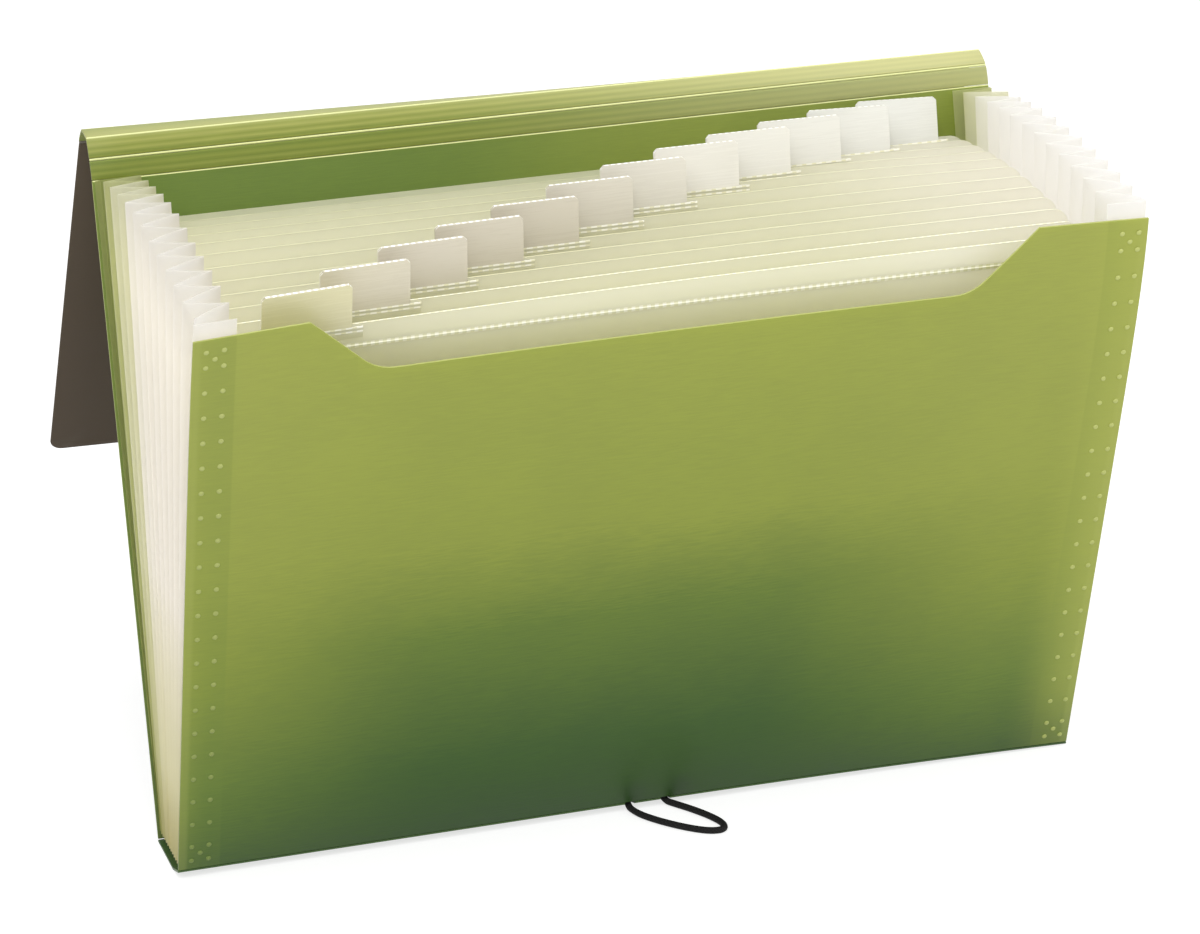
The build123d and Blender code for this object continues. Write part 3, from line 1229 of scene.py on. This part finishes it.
@dataclass
class CoverPanels:
    """Front cover with its cut-out, back cover and bottom."""

    finishes: Finishes
    columns: int = 30
    rows: int = 14
    lip_bend: float = -0.007
    lip_run: float = 0.008
    lip_columns: int = 10
    lip_rows: int = 4
    half_thickness: float = 0.0004
    rim_rounding: float = 0.0002
    front_weld_top: float = 0.2171
    back_weld_top: float = 0.2255
    weld_columns: Pair = (0.1545, 0.1605)
    weld_end: float = 0.0062
    weld_low: Pair = (0.0106, 0.0044)
    weld_pitch: float = 0.0098
    weld_radius: float = 0.00095
    weld_rise: float = 0.0004
    weld_sink: float = 0.2
    weld_segments: int = 10
    weld_rings: int = 6
    weld_degrees: float = 60.0
    weld_shift: float = 0.0013

    def build(self) -> None:
        """Build the three sheets and their weld dots."""
        front = self.bowed_front()
        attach(front, "front_cover")
        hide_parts("front_panel")
        back = Bench.copy_of("back_panel", "back_cover_sheet")
        Bench.round_rims(back, self.rim_rounding)
        Bench.smooth(back)
        Bench.paint(back, self.finishes.back, self.finishes.rim, FAN.ahead(FAN.pockets))
        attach(back, "back_cover")
        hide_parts("back_panel")
        bottom = self.settled_bottom()
        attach(bottom, "base")
        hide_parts("bottom_panel")
        front_dots = self.dots("front_weld_dots", Vector(FAN.front_fold), 0, 1.0, self.front_weld_top)
        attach(front_dots, "front_cover")
        back_dots = self.dots("back_weld_dots", Vector(FAN.back_fold), FAN.pockets, -1.0, self.back_weld_top)
        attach(back_dots, "back_cover")

    def bowed_front(self) -> bpy.types.Object:
        """Make the front cover and bow it.

        Returns:
            The front cover sheet.
        """
        piece = Bench.copy_of("front_panel", "front_cover_sheet")
        fold, up, ahead = Vector(FAN.front_fold), FAN.up(0), FAN.ahead(0)
        Bench.cut_columns(piece, FAN.half_width, self.columns)
        runs = [FAN.sheet_height * crowd_up(k / self.rows) for k in range(1, self.rows)]
        Bench.cut(piece, [fold + up * run for run in runs], up)
        Bench.move(piece, lambda co: co + FAN.front_drift(co.x, (co - fold).dot(up)))
        Bench.round_rims(piece, self.rim_rounding)
        Bench.smooth(piece)
        Bench.paint(piece, self.finishes.front, self.finishes.rim, ahead)
        # The inner face takes the painted glow of light through the sheet.
        piece.data.materials.append(self.finishes.front_inner_glow)
        for polygon in piece.data.polygons:
            if polygon.normal.dot(ahead) < -Bench.FACING:
                polygon.material_index = 2
        return piece

    def settled_bottom(self) -> bpy.types.Object:
        """Make the bottom, its swept-up front edge settled at the right.

        Returns:
            The bottom sheet.
        """
        piece = Bench.copy_of("bottom_panel", "bottom_sheet")
        across = [ACROSS * (FAN.half_width * k / self.lip_columns) for k in range(1, self.lip_columns)]
        Bench.cut(piece, across, ACROSS)
        along = [ALONG * (self.lip_bend - self.lip_run * k / self.lip_rows) for k in range(self.lip_rows)]
        Bench.cut(piece, along, ALONG)
        Bench.move(piece, lambda co: co + FAN.droop(co.x, max(0.0, self.lip_bend - co.y) / self.lip_run))
        Bench.smooth(piece)
        Bench.dress(piece, self.finishes.bottom)
        return piece

    def weld_seed(self, name: str) -> bpy.types.Object:
        """Model one flat round weld dot.

        Args:
            name: The dots' name.

        Returns:
            The dot that is copied.
        """
        bpy.ops.object.select_all(action="DESELECT")
        bpy.ops.mesh.primitive_uv_sphere_add(
            segments=self.weld_segments, ring_count=self.weld_rings, radius=self.weld_radius,
        )
        seed = Bench.fresh(name + "_seed")
        Bench.begin(seed)
        base = (0, 0, -self.weld_sink * self.weld_radius)
        bpy.ops.mesh.bisect(plane_co=base, plane_no=UPRIGHT, clear_inner=True, use_fill=True)
        Bench.end()
        Bench.move(seed, lambda co: Vector((co.x, co.y, co.z * self.weld_rise / self.weld_radius)))
        Bench.smooth(seed, self.weld_degrees)
        return seed

    def weld_spots(self, top: float) -> list[Pair]:
        """Place the weld dots of one side: a group of five at each end, and pairs between.

        Args:
            top: Distance up the sheet of the highest dots.

        Returns:
            Distance from the middle and distance up the sheet of each dot.
        """
        inner, outer = self.weld_columns
        start, end = self.weld_low[0], top - self.weld_end
        spots: list[Pair] = []
        for high, low in ((top, end), self.weld_low):
            spots += [(x, run) for run in (high, low) for x in (inner, outer)]
            spots.append(((inner + outer) / 2, (high + low) / 2))
        count = int((end - start) / self.weld_pitch)
        step = (end - start) / count
        return spots + [(x, start + step * k) for k in range(1, count) for x in (inner, outer)]

    def dots(self, name: str, fold: Vector, place: float, facing: float, top: float) -> bpy.types.Object:
        """Make the raised weld dots of one cover.

        Args:
            name: The piece's name.
            fold: The cover's fold.
            place: The cover's place in the fan.
            facing: 1 for dots on the front face, -1 for the rear face.
            top: Distance up the sheet of the highest dots.

        Returns:
            All dots of that cover as one piece.
        """
        seed = self.weld_seed(name)
        up, out = FAN.up(place), FAN.ahead(place) * facing
        turn = UPRIGHT.rotation_difference(out).to_matrix().to_4x4()
        copies = []
        for side in Side:
            shift = self.weld_shift if side is Side.RIGHT else 0.0
            for x, run in self.weld_spots(top):
                copy = seed.copy()
                copy.data = seed.data.copy()
                bpy.context.scene.collection.objects.link(copy)
                spot = fold + up * run + out * self.half_thickness + ACROSS * (side.value * (x + shift))
                if place == 0:
                    spot += FAN.front_drift(spot.x, run)
                copy.data.transform(Matrix.Translation(spot) @ turn)
                copies.append(copy)
        bpy.data.objects.remove(seed)
        piece = Bench.join(name, copies)
        Bench.dress(piece, self.finishes.weld)
        return piece


@dataclass
class Spine:
    """Four scored strips that carry the flap over the top, twisted a little from end to end."""

    finishes: Finishes
    back_run: float = 0.2306
    strip_width: float = 0.0075
    left_leans: tuple[float, ...] = (22.0, 30.0, 85.0, 138.0)
    right_leans: tuple[float, ...] = (22.0, 62.0, 125.0, 152.0)
    thickness: float = 0.0008
    crown: float = 0.0003
    end_gap: float = 0.0005
    columns: int = 24
    rows: int = 8
    rim_rounding: float = 0.0002
    strip_degrees: float = 44.0
    line_radius: float = 0.00042
    flap_line_radius: float = 0.00064
    line_sides: int = 10
    line_trim: float = 0.0002
    line_rounding: float = 0.00015
    line_degrees: float = 60.0
    ridge_start: Triple = (0.0, 0.0763, 0.2304)
    ridge_end: Triple = (0.0, 0.0915, 0.2278)

    def lines(self, x: float) -> list[Vector]:
        """Give the score lines at a place along the spine.

        Args:
            x: Distance from the middle.

        Returns:
            A point for each line, from the back cover to the flap.
        """
        share = (x / FAN.half_width + 1.0) / 2.0
        lean = math.radians(-FAN.back_lean)
        top = Vector((x, math.sin(lean) * self.back_run, math.cos(lean) * self.back_run))
        found = [Vector(FAN.back_fold) + top]
        for left, right in zip(self.left_leans, self.right_leans):
            angle = math.radians(left + (right - left) * share)
            found.append(found[-1] + Vector((0, math.sin(angle), math.cos(angle))) * self.strip_width)
        return found

    def sag(self, x: float) -> Vector:
        """Give how far the flap's hinge line hangs off its middle height."""
        return self.lines(x)[-1] - self.lines(0.0)[-1] - ACROSS * x

    def build(self) -> None:
        """Build the strips and the score lines between them."""
        strip = self.strip("spine_strip_1", 0, 1, self.finishes.strip)
        self.settle(strip, "back_cover", "hinge_strip_1")
        ridge = self.strip("spine_ridge", 1, 3, self.finishes.ridge)
        self.settle(ridge, None, "hinge_strip_2", "hinge_strip_3", "hinge_strip_4")
        for number, body in enumerate(("back_cover", "back_cover", None, None, "flap")):
            self.settle(self.score(f"score_line_{number + 1}", number), body)

    def settle(self, piece: bpy.types.Object, body: str | None, *nodes: str) -> None:
        """Let a piece ride on its body, or fix it where it is, and stand for its nodes.

        Args:
            piece: The piece.
            body: The body, or None for a piece across the ridge, which stays fixed where it is.
            nodes: The nodes it stands for.
        """
        if body is None:
            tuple(self.ridge_start)
            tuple(self.ridge_end)
            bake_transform(piece)
        else:
            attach(piece, body)
        if nodes:
            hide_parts(*nodes)

    def strip(self, name: str, first: int, count: int, finish: bpy.types.Material) -> bpy.types.Object:
        """Make strips in one piece, each crowned a little between its score lines.

        Args:
            name: The piece's name.
            first: Number of the lowest score line.
            count: How many strips the piece spans.
            finish: Finish of its faces.

        Returns:
            The strips.
        """
        def rule(u: float, v: float) -> Vector:
            """Give a point of the strips' middle surface.

            Args:
                u: Share across.
                v: Share up.

            Returns:
                The point.
            """
            run = (self.end_gap + v * (count * self.strip_width - 2 * self.end_gap)) / self.strip_width
            step = min(int(run + ROUND_OFF), count - 1)
            part = run - step
            low, high = self.lines(FAN.half_width * (2 * u - 1))[first + step:first + step + 2]
            across = high - low
            out = Vector((0, across.z, -across.y)).normalized()
            return low + across * part - out * self.crown * 4 * part * (1 - part)

        piece = Bench.grid(name, self.columns, self.rows * count, rule)
        Bench.thicken(piece, self.thickness)
        Bench.round_rims(piece, self.rim_rounding)
        Bench.smooth(piece, self.strip_degrees)
        Bench.dress(piece, finish)
        return piece

    def score(self, name: str, number: int) -> bpy.types.Object:
        """Make one pale score line.

        Args:
            name: The piece's name.
            number: The line's number, 0 at the back cover.

        Returns:
            The score line, a thin bead with rounded ends.
        """
        bpy.ops.object.select_all(action="DESELECT")
        length = 2 * FAN.half_width - self.line_trim
        at_flap = number == len(self.left_leans)
        radius = self.flap_line_radius if at_flap else self.line_radius
        bpy.ops.mesh.primitive_cylinder_add(vertices=self.line_sides, radius=radius, depth=length)
        piece = Bench.fresh(name)
        places = [UPRIGHT * (length * (k / self.columns - 0.5)) for k in range(1, self.columns)]
        Bench.cut(piece, places, UPRIGHT)
        Bench.move(piece, lambda co: self.lines(co.z)[number] + Vector((0, co.x, co.y)))
        Bench.round_rims(piece, self.line_rounding)
        Bench.turn_out(piece)
        Bench.smooth(piece, self.line_degrees)
        Bench.dress(piece, self.finishes.flap_rim if at_flap else self.finishes.score)
        return piece


@dataclass
class Flap:
    """The dark flap behind, with the button that the elastic hooks on."""

    finishes: Finishes
    spine: Spine
    lean: float = 150.0
    rim_rounding: float = 0.00012
    button_field: float = 0.008
    button_rounding: float = 0.00025
    columns: int = 24

    def build(self) -> None:
        """Build the flap sheet and its button and washer."""
        angle = math.radians(self.lean)
        along = Vector((0, math.sin(angle), math.cos(angle)))
        square = Vector((0, math.cos(angle), -math.sin(angle)))
        low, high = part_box("closure_button")
        middle = (Vector(low) + Vector(high)) / 2
        piece = Bench.copy_of("flap_panel", "flap_sheet")
        Bench.cut_columns(piece, FAN.half_width, self.columns)
        Bench.cut(piece, [middle + along * way * self.button_field for way in (-1, 1)], along)
        Bench.move(piece, lambda co: co + self.spine.sag(co.x))
        Bench.round_rims(piece, self.rim_rounding)
        Bench.smooth(piece)
        Bench.paint(piece, self.finishes.flap, self.finishes.flap_rim, square)
        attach(piece, "flap")
        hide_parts("flap_panel")
        drop = self.spine.sag(middle.x)
        for node in ("closure_button", "button_washer"):
            copy = Bench.copy_of(node, node + "_moulded")
            Bench.move(copy, lambda co: co + drop)
            Bench.round_rims(copy, self.button_rounding)
            Bench.smooth(copy)
            Bench.dress(copy, self.finishes.button)
            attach(copy, "flap")
            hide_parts(node)


@dataclass
class Pockets:
    """Twelve divider sheets with their index tabs and labels."""

    finishes: Finishes
    count: int = 12
    half_width: float = 0.150
    top_run: float = 0.2109
    crease_drop: float = 0.008
    crease_width: float = 0.0009
    crease_rise: float = 0.00025
    crease_end: float = 0.001
    crease_reach: float = 1e-5
    top_reach: float = 1e-4
    dotted_tops: int = 2
    tab_rounding: float = 0.00008
    foot_rows: tuple[float, ...] = (0.0020, 0.0026, 0.0034, 0.0040)
    columns: int = 20
    rows: int = 7

    def build(self) -> None:
        """Build every divider, tab and label, bowed as they stand in the fan."""
        for number in range(1, self.count + 1):
            sheet = self.divider(number)
            self.settle(sheet, number, f"divider_{number:02d}", "divider_clear")
            holder = self.bent(f"tab_holder_{number:02d}", f"tab_{number:02d}", number)
            Bench.round_rims(holder, self.tab_rounding)
            Bench.smooth(holder)
            Bench.paint(holder, self.finishes.tab, self.finishes.tab_rim_highlight, FAN.ahead(number))
            self.dash_foot(holder, number)
            self.settle(holder, number, f"tab_holder_{number:02d}", "tab_clear")
            label = self.bent(f"tab_label_{number:02d}", f"label_{number:02d}", number)
            Bench.smooth(label)
            Bench.dress(label, self.finishes.label)
            self.settle(label, number, f"tab_label_{number:02d}", "label_paper")

    @staticmethod
    def settle(piece: bpy.types.Object, number: int, node: str, slot: str) -> None:
        """Let a piece ride on its leaf and stand for its node.

        Args:
            piece: The piece.
            number: The leaf's number.
            node: The node it stands for.
            slot: The record's material slot. Not used.
        """
        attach(piece, f"leaf_{number:02d}")
        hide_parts(node)

    def bent(self, node: str, name: str, number: int) -> bpy.types.Object:
        """Copy a tab's piece and let it follow its sheet's bow.

        Args:
            node: The CAD node.
            name: The new piece's name.
            number: The leaf's number.

        Returns:
            The bowed copy.
        """
        piece = Bench.copy_of(node, name)
        self.follow(piece, number)
        return piece

    def dash_foot(self, holder: bpy.types.Object, number: int) -> None:
        """Give the welded foot of a tab its two rows of dashes, a painted highlight.

        Args:
            holder: The tab.
            number: The leaf's number.
        """
        foot, up = FAN.foot(number), FAN.up(number)
        runs = [(vertex.co - foot).dot(up) for vertex in holder.data.vertices]
        edges = [min(runs) + row for row in self.foot_rows]
        Bench.cut(holder, [foot + up * edge for edge in edges], up)
        holder.data.materials.append(self.finishes.tab_foot)
        holder.data.materials.append(self.finishes.divider)
        for polygon in holder.data.polygons:
            below = sum((polygon.center - foot).dot(up) > edge for edge in edges)
            if below < len(edges):
                polygon.material_index = 2 if below % 2 else 3

    @staticmethod
    def follow(piece: bpy.types.Object, number: int) -> None:
        """Bow a piece with its sheet."""
        foot, up = FAN.foot(number), FAN.up(number)
        Bench.move(piece, lambda co: co + FAN.drift(number, co.x, (co - foot).dot(up)))

    def divider(self, number: int) -> bpy.types.Object:
        """Make one divider with the pressed line below its top edge.

        Args:
            number: The leaf's number, 1 at the front.

        Returns:
            The divider sheet.
        """
        piece = Bench.copy_of(f"divider_{number:02d}", f"pocket_sheet_{number:02d}")
        foot, up, ahead = FAN.foot(number), FAN.up(number), FAN.ahead(number)
        Bench.cut_columns(piece, self.half_width, self.columns)
        line = self.top_run - self.crease_drop
        runs = [self.top_run * crowd_up(k / self.rows) for k in range(1, self.rows)]
        runs += [line - self.crease_width, line, line + self.crease_width]
        Bench.cut(piece, [foot + up * run for run in runs], up)

        def press(co: Vector) -> Vector:
            """Raise the pressed line on both faces.

            Args:
                co: A point of the sheet.

            Returns:
                Its new place.
            """
            run, off = (co - foot).dot(up), (co - foot).dot(ahead)
            if abs(run - line) < self.crease_reach and abs(co.x) < self.half_width - self.crease_end:
                return co + ahead * math.copysign(self.crease_rise, off)
            return co

        Bench.move(piece, press)
        self.follow(piece, number)
        Bench.smooth(piece)
        Bench.paint(piece, self.finishes.divider, self.finishes.divider_rim, ahead)
        # The pressed line and the front sheets' top edges take the painted dotted highlight.
        piece.data.materials.append(self.finishes.pressed)
        for polygon in piece.data.polygons:
            run = (polygon.center - foot).dot(up)
            at_top = number <= self.dotted_tops and run > self.top_run - self.top_reach
            if at_top or abs(run - line) < self.crease_width:
                polygon.material_index = 2
        return piece


@dataclass(frozen=True)
class Pleat:
    """One pocket's pleat at one end of the folder, or the half of it on one side of the outer fold."""

    side: Side
    pocket: int
    share: float
    body: str
    first: float = 0.0
    last: float = 1.0

    @property
    def whole(self) -> bool:
        """Say whether the piece spans both leaves of the pleat."""
        return self.last - self.first == 1.0

    @property
    def at_end(self) -> bool:
        """Say whether the pleat joins one of the covers."""
        return self.pocket in (0, FAN.pockets - 1)

    @property
    def name(self) -> str:
        """Name the piece by its side and its place from the front.

        Returns:
            The name.
        """
        name = f"pleat_{self.side.name.lower()}_{self.pocket + 1:02d}"
        if self.whole:
            return name
        return name + ("_front" if self.first == 0.0 else "_rear")


@dataclass
class Gussets:
    """The pleated side sheets, one piece for each pocket."""

    finishes: Finishes
    inner: float = 0.1503
    outer: float = 0.1644
    run: float = 0.2259
    thickness: float = 0.0003
    smooth_degrees: float = 40.0
    end_inset: float = 0.0009
    end_spread: float = 0.0006
    swell: float = 0.05
    middle: int = FAN.pockets // 2
    right_shares: tuple[float, ...] = (
        0.38, 0.22, 0.18, 0.16, 0.14, 0.22, 0.26, 0.32, 0.48, 0.44, 0.28, 0.30, 0.52,
    )
    left_shares: tuple[float, ...] = (
        0.40, 0.42, 0.46, 0.44, 0.50, 0.47, 0.50, 0.46, 0.52, 0.50, 0.55, 0.52, 0.58,
    )
    # Which greener shade each pocket's pleats take: painted green light near the back cover.
    right_greens: tuple[int, ...] = (0, 0, 0, 0, 0, 0, 0, 0, 0, 0, 0, 1, 2)
    left_greens: tuple[int, ...] = (0, 0, 0, 0, 0, 0, 0, 0, 0, 1, 1, 2, 3)
    steps: tuple[float, ...] = (0.0, 0.06, 0.2, 0.36, 0.46, 0.5, 0.54, 0.64, 0.8, 0.94, 1.0)
    rows: int = 12

    def build(self) -> None:
        """Build the pleats of both sides."""
        for side in Side:
            made = [self.make(pleat) for pleat in self.pleats(side)]
            for piece in made:
                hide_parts(f"gusset_{side.name.lower()}")

    def pleats(self, side: Side) -> list[Pleat]:
        """List one side's pleats from the front, the middle one in two halves.

        Args:
            side: The folder's end.

        Returns:
            The pleats.
        """
        found = []
        for pocket, share in enumerate(self.right_shares if side is Side.RIGHT else self.left_shares):
            if pocket == self.middle:
                found.append(Pleat(side, pocket, share, f"leaf_{pocket:02d}", last=0.5))
                found.append(Pleat(side, pocket, share, f"leaf_{pocket + 1:02d}", first=0.5))
            else:
                found.append(Pleat(side, pocket, share, self.carrier(pocket)))
        return found

    def carrier(self, pocket: int) -> str:
        """Name the body that leans more beside a pocket.

        Args:
            pocket: The pocket's number, 0 at the front.

        Returns:
            The body's name.
        """
        if pocket == 0:
            return "front_cover"
        if pocket == FAN.pockets - 1:
            return "back_cover"
        return f"leaf_{pocket if pocket < self.middle else pocket + 1:02d}"

    def spot(self, pleat: Pleat, u: float, v: float) -> Vector:
        """Give a point of a pleat.

        Args:
            pleat: The pleat.
            u: Share across it, 0.5 at the outer fold.
            v: Share up it.

        Returns:
            The point, in metres.
        """
        pocket, share = pleat.pocket, pleat.share
        part = u * 2 if u <= 0.5 else 2 - u * 2
        x = self.inner + (self.outer - self.inner) * part
        swell = self.swell * math.sin(math.pi * part)
        if u <= 0.5:
            place = pocket + share * part - swell
        else:
            place = pocket + 1 - (1 - share) * part + swell
        shift = 0.0
        if pocket == 0 and u <= 0.5:
            place, shift = 0.0, -self.end_inset - self.end_spread * part
        if pocket == FAN.pockets - 1 and u >= 0.5:
            place, shift = float(FAN.pockets), self.end_inset + self.end_spread * part
        return FAN.point(place, pleat.side.value * x, self.run * v, shift)

    def make(self, pleat: Pleat) -> bpy.types.Object:
        """Make one pleat, fixed where it stands.

        Args:
            pleat: The pleat.

        Returns:
            Its piece.
        """
        steps = [step for step in self.steps if pleat.first <= step <= pleat.last]
        count = len(steps) - 1

        def rule(u: float, v: float) -> Vector:
            """Give a point of the pleat's middle surface."""
            return self.spot(pleat, steps[round(u * count)], crowd_up(v))

        piece = Bench.grid(pleat.name, count, self.rows, rule)
        Bench.thicken(piece, self.thickness)
        Bench.smooth(piece, self.smooth_degrees)
        if pleat.side is Side.LEFT:
            Bench.dress(piece, self.finishes.gussets_left[self.left_greens[pleat.pocket]])
        else:
            Bench.dress(piece, self.finishes.gussets_right[self.right_greens[pleat.pocket]])
        self.swing(piece, pleat)
        return piece

    def swing(self, piece: bpy.types.Object, pleat: Pleat) -> None:
        """Fix a pleat where it stands; the reach it would blend over, between the base and the sheet that leans
        more, is worked out but not used.

        Args:
            piece: The pleat's piece.
            pleat: The pleat.
        """
        front_place, rear_place = pleat.pocket + pleat.first, pleat.pocket + pleat.last
        front_lean, rear_lean = abs(FAN.lean(front_place)), abs(FAN.lean(rear_place))
        ahead = front_lean >= rear_lean
        turn = min(front_lean, rear_lean) / max(front_lean, rear_lean) if pleat.whole else 0.0
        strong = front_place if ahead else rear_place
        out = FAN.ahead(strong) * (1.0 if ahead else -1.0)
        foot = FAN.foot(strong)
        held, free = (pleat.first, pleat.last) if ahead else (pleat.last, pleat.first)
        edge = [step for step in self.steps if abs(step - held) <= 0.5] if pleat.at_end else [held]
        levels = [k / self.rows for k in range(self.rows + 1)]
        near = min((self.spot(pleat, u, v) - foot).dot(out) for u in edge for v in levels)
        far = (self.spot(pleat, free, 1.0) - foot).dot(out)
        reach = (near - far) / (1.0 - self.unsmooth(turn))
        start, end = foot + out * (near - reach), foot + out * near
        tuple(start)
        tuple(end)
        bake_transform(piece)

    @staticmethod
    def unsmooth(share: float, halvings: int = 40) -> float:
        """Turn an eased share back into the plain one.

        Args:
            share: Eased share from 0 to 1.
            halvings: How often the range is halved.

        Returns:
            The share before easing.
        """
        low, high = 0.0, 1.0
        for _ in range(halvings):
            middle = (low + high) / 2
            if ease(middle) < share:
                low = middle
            else:
                high = middle
        return low


@dataclass
class ElasticLoop:
    """The round elastic that comes out from under the front edge."""

    finishes: Finishes
    diameter: float = 0.0024
    length: float = 0.0773
    order: int = 3
    steps: int = 8
    roundness: int = 4
    route: tuple[Triple, ...] = (
        (-0.0020, -0.0117, 0.0031), (-0.0020, -0.0136, 0.0012), (-0.0016, -0.0172, 0.0012),
        (0.0006, -0.0226, 0.0012), (0.0060, -0.0298, 0.0012), (0.0126, -0.0366, 0.0012),
        (0.0190, -0.0412, 0.0012), (0.0242, -0.0416, 0.0012), (0.0254, -0.0372, 0.0012),
        (0.0230, -0.0306, 0.0012), (0.0186, -0.0232, 0.0012), (0.0142, -0.0172, 0.0012),
        (0.0116, -0.0136, 0.0012), (0.0109, -0.0117, 0.0031),
    )

    def build(self) -> None:
        """Lay the elastic along its route and finish its stops."""
        curve = bpy.data.curves.new("elastic_cord", "CURVE")
        curve.dimensions = "3D"
        spline = curve.splines.new("NURBS")
        spline.points.add(len(self.route) - 1)
        for point, place in zip(spline.points, self.route):
            point.co = (*place, 1.0)
        spline.order_u = self.order
        spline.use_endpoint_u = True
        spline.resolution_u = self.steps
        curve.bevel_depth = self.diameter / 2
        curve.bevel_resolution = self.roundness
        curve.use_fill_caps = True
        cord = bpy.data.objects.new("elastic_cord", curve)
        bpy.context.scene.collection.objects.link(cord)
        curve.materials.append(self.finishes.braid)
        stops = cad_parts["cord_stops"]
        Bench.dress(stops, self.finishes.stop)
        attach(cord, "base")
        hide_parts("elastic_loop")
        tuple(self.route[0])


@dataclass
class Studio:
    """Camera, pale floor and soft light."""

    eye: Triple = (-0.4624, -1.3929, 0.7319)
    gaze: Triple = (0.28696, 0.87843, -0.38210)
    right: Triple = (0.94991, -0.31247, -0.00496)
    lens: float = 138.0
    sensor: float = 36.0
    far_clip: float = 50.0
    floor_size: float = 8.0
    floor_grey: float = 0.82
    shadow_grey: float = 0.42
    floor_glow: float = 0.70
    world_light: float = 0.62
    lamps: tuple[tuple[str, Triple, float, float], ...] = (
        ("key_light", (-0.9, -1.25, 2.1), 1.6, 26.0),
        ("fill_light", (1.6, -1.0, 1.1), 1.8, 9.0),
        ("top_light", (0.1, 0.1, 2.2), 1.8, 22.0),
    )
    lamp_target: Triple = (0.0, 0.0, 0.11)

    def build(self) -> None:
        """Set the camera, the floor, the lamps and the world."""
        self.camera()
        self.floor()
        for name, place, size, power in self.lamps:
            self.lamp(name, place, size, power)
        self.world()
        bpy.context.scene.view_settings.view_transform = "Standard"

    def camera(self) -> None:
        """Put the camera where the photograph was taken from."""
        gaze = Vector(self.gaze).normalized()
        right = (Vector(self.right) - gaze * Vector(self.right).dot(gaze)).normalized()
        up = right.cross(gaze)
        data = bpy.data.cameras.new("photo_camera")
        data.sensor_fit = "HORIZONTAL"
        data.sensor_width = self.sensor
        data.lens = self.lens
        data.clip_end = self.far_clip
        camera = bpy.data.objects.new("photo_camera", data)
        turn = Matrix((right, up, -gaze)).transposed().to_4x4()
        camera.matrix_world = Matrix.Translation(self.eye) @ turn
        bpy.context.scene.collection.objects.link(camera)
        bpy.context.scene.camera = camera

    def floor(self) -> None:
        """Lay a pale floor that stays white and keeps the shadow."""
        bpy.ops.object.select_all(action="DESELECT")
        bpy.ops.mesh.primitive_plane_add(size=self.floor_size)
        floor = Bench.fresh("floor")
        material = bpy.data.materials.new("floor_white")
        material.use_nodes = True
        nodes = material.node_tree.nodes
        w = Wiring(material.node_tree)
        nodes.remove(nodes["Principled BSDF"])
        lit = w.add("ShaderNodeBsdfDiffuse")
        lit.inputs["Color"].default_value = (*[self.shadow_grey] * 3, 1.0)
        glow = w.add("ShaderNodeEmission")
        glow.inputs["Strength"].default_value = self.floor_glow
        both = w.add("ShaderNodeAddShader")
        w.put(lit.outputs[0], both.inputs[0])
        w.put(glow.outputs[0], both.inputs[1])
        plain = w.add("ShaderNodeBsdfDiffuse")
        plain.inputs["Color"].default_value = (*[self.floor_grey] * 3, 1.0)
        w.put(self.backdrop(w, plain, both), nodes["Material Output"].inputs["Surface"])
        floor.data.materials.append(material)

    @staticmethod
    def backdrop(w: Wiring, lights: bpy.types.Node, shows: bpy.types.Node) -> bpy.types.NodeSocket:
        """Tell rays that show the background from rays that light the object.

        Args:
            w: The wiring of the floor or the world.
            lights: The shader that lights the object.
            shows: The shader that camera, glossy and transmission rays see.

        Returns:
            The socket of both shaders together.
        """
        path = w.add("ShaderNodeLightPath").outputs
        first = w.math("MAXIMUM", path["Is Camera Ray"], path["Is Glossy Ray"])
        pick = w.add("ShaderNodeMixShader")
        w.put(w.math("MAXIMUM", first, path["Is Transmission Ray"]), pick.inputs[0])
        w.put(lights.outputs[0], pick.inputs[1])
        w.put(shows.outputs[0], pick.inputs[2])
        return pick.outputs[0]

    def lamp(self, name: str, place: Triple, size: float, power: float) -> None:
        """Hang one soft lamp that looks at the folder.

        Args:
            name: The lamp's name.
            place: Where it hangs.
            size: Its side length.
            power: Its power in watts.
        """
        data = bpy.data.lights.new(name, "AREA")
        data.shape = "SQUARE"
        data.size = size
        data.energy = power
        lamp = bpy.data.objects.new(name, data)
        aim = Vector(self.lamp_target) - Vector(place)
        lamp.matrix_world = Matrix.Translation(place) @ aim.to_track_quat("-Z", "Y").to_matrix().to_4x4()
        bpy.context.scene.collection.objects.link(lamp)

    def world(self) -> None:
        """Light the scene softly all round, with white behind."""
        world = bpy.data.worlds.new("studio_world")
        bpy.context.scene.world = world
        world.use_nodes = True
        nodes = world.node_tree.nodes
        w = Wiring(world.node_tree)
        soft, white = nodes["Background"], w.add("ShaderNodeBackground")
        for shader, strength in ((soft, self.world_light), (white, 1.0)):
            shader.inputs["Color"].default_value = (1.0, 1.0, 1.0, 1.0)
            shader.inputs["Strength"].default_value = strength
        w.put(self.backdrop(w, soft, white), nodes["World Output"].inputs["Surface"])


def main() -> None:
    """Build the folder's pieces in order and report them."""
    logging.basicConfig(level=logging.INFO, format="%(name)s: %(message)s")
    finishes = Finishes()
    spine = Spine(finishes)
    for assembly in (
        Studio(),
        ElasticLoop(finishes),
        CoverPanels(finishes),
        spine,
        Flap(finishes, spine),
        Pockets(finishes),
        Gussets(finishes),
    ):
        assembly.build()
        LOG.info("built %s", type(assembly).__name__)
    bpy.context.view_layer.update()


if __name__ == "__main__":
    main()
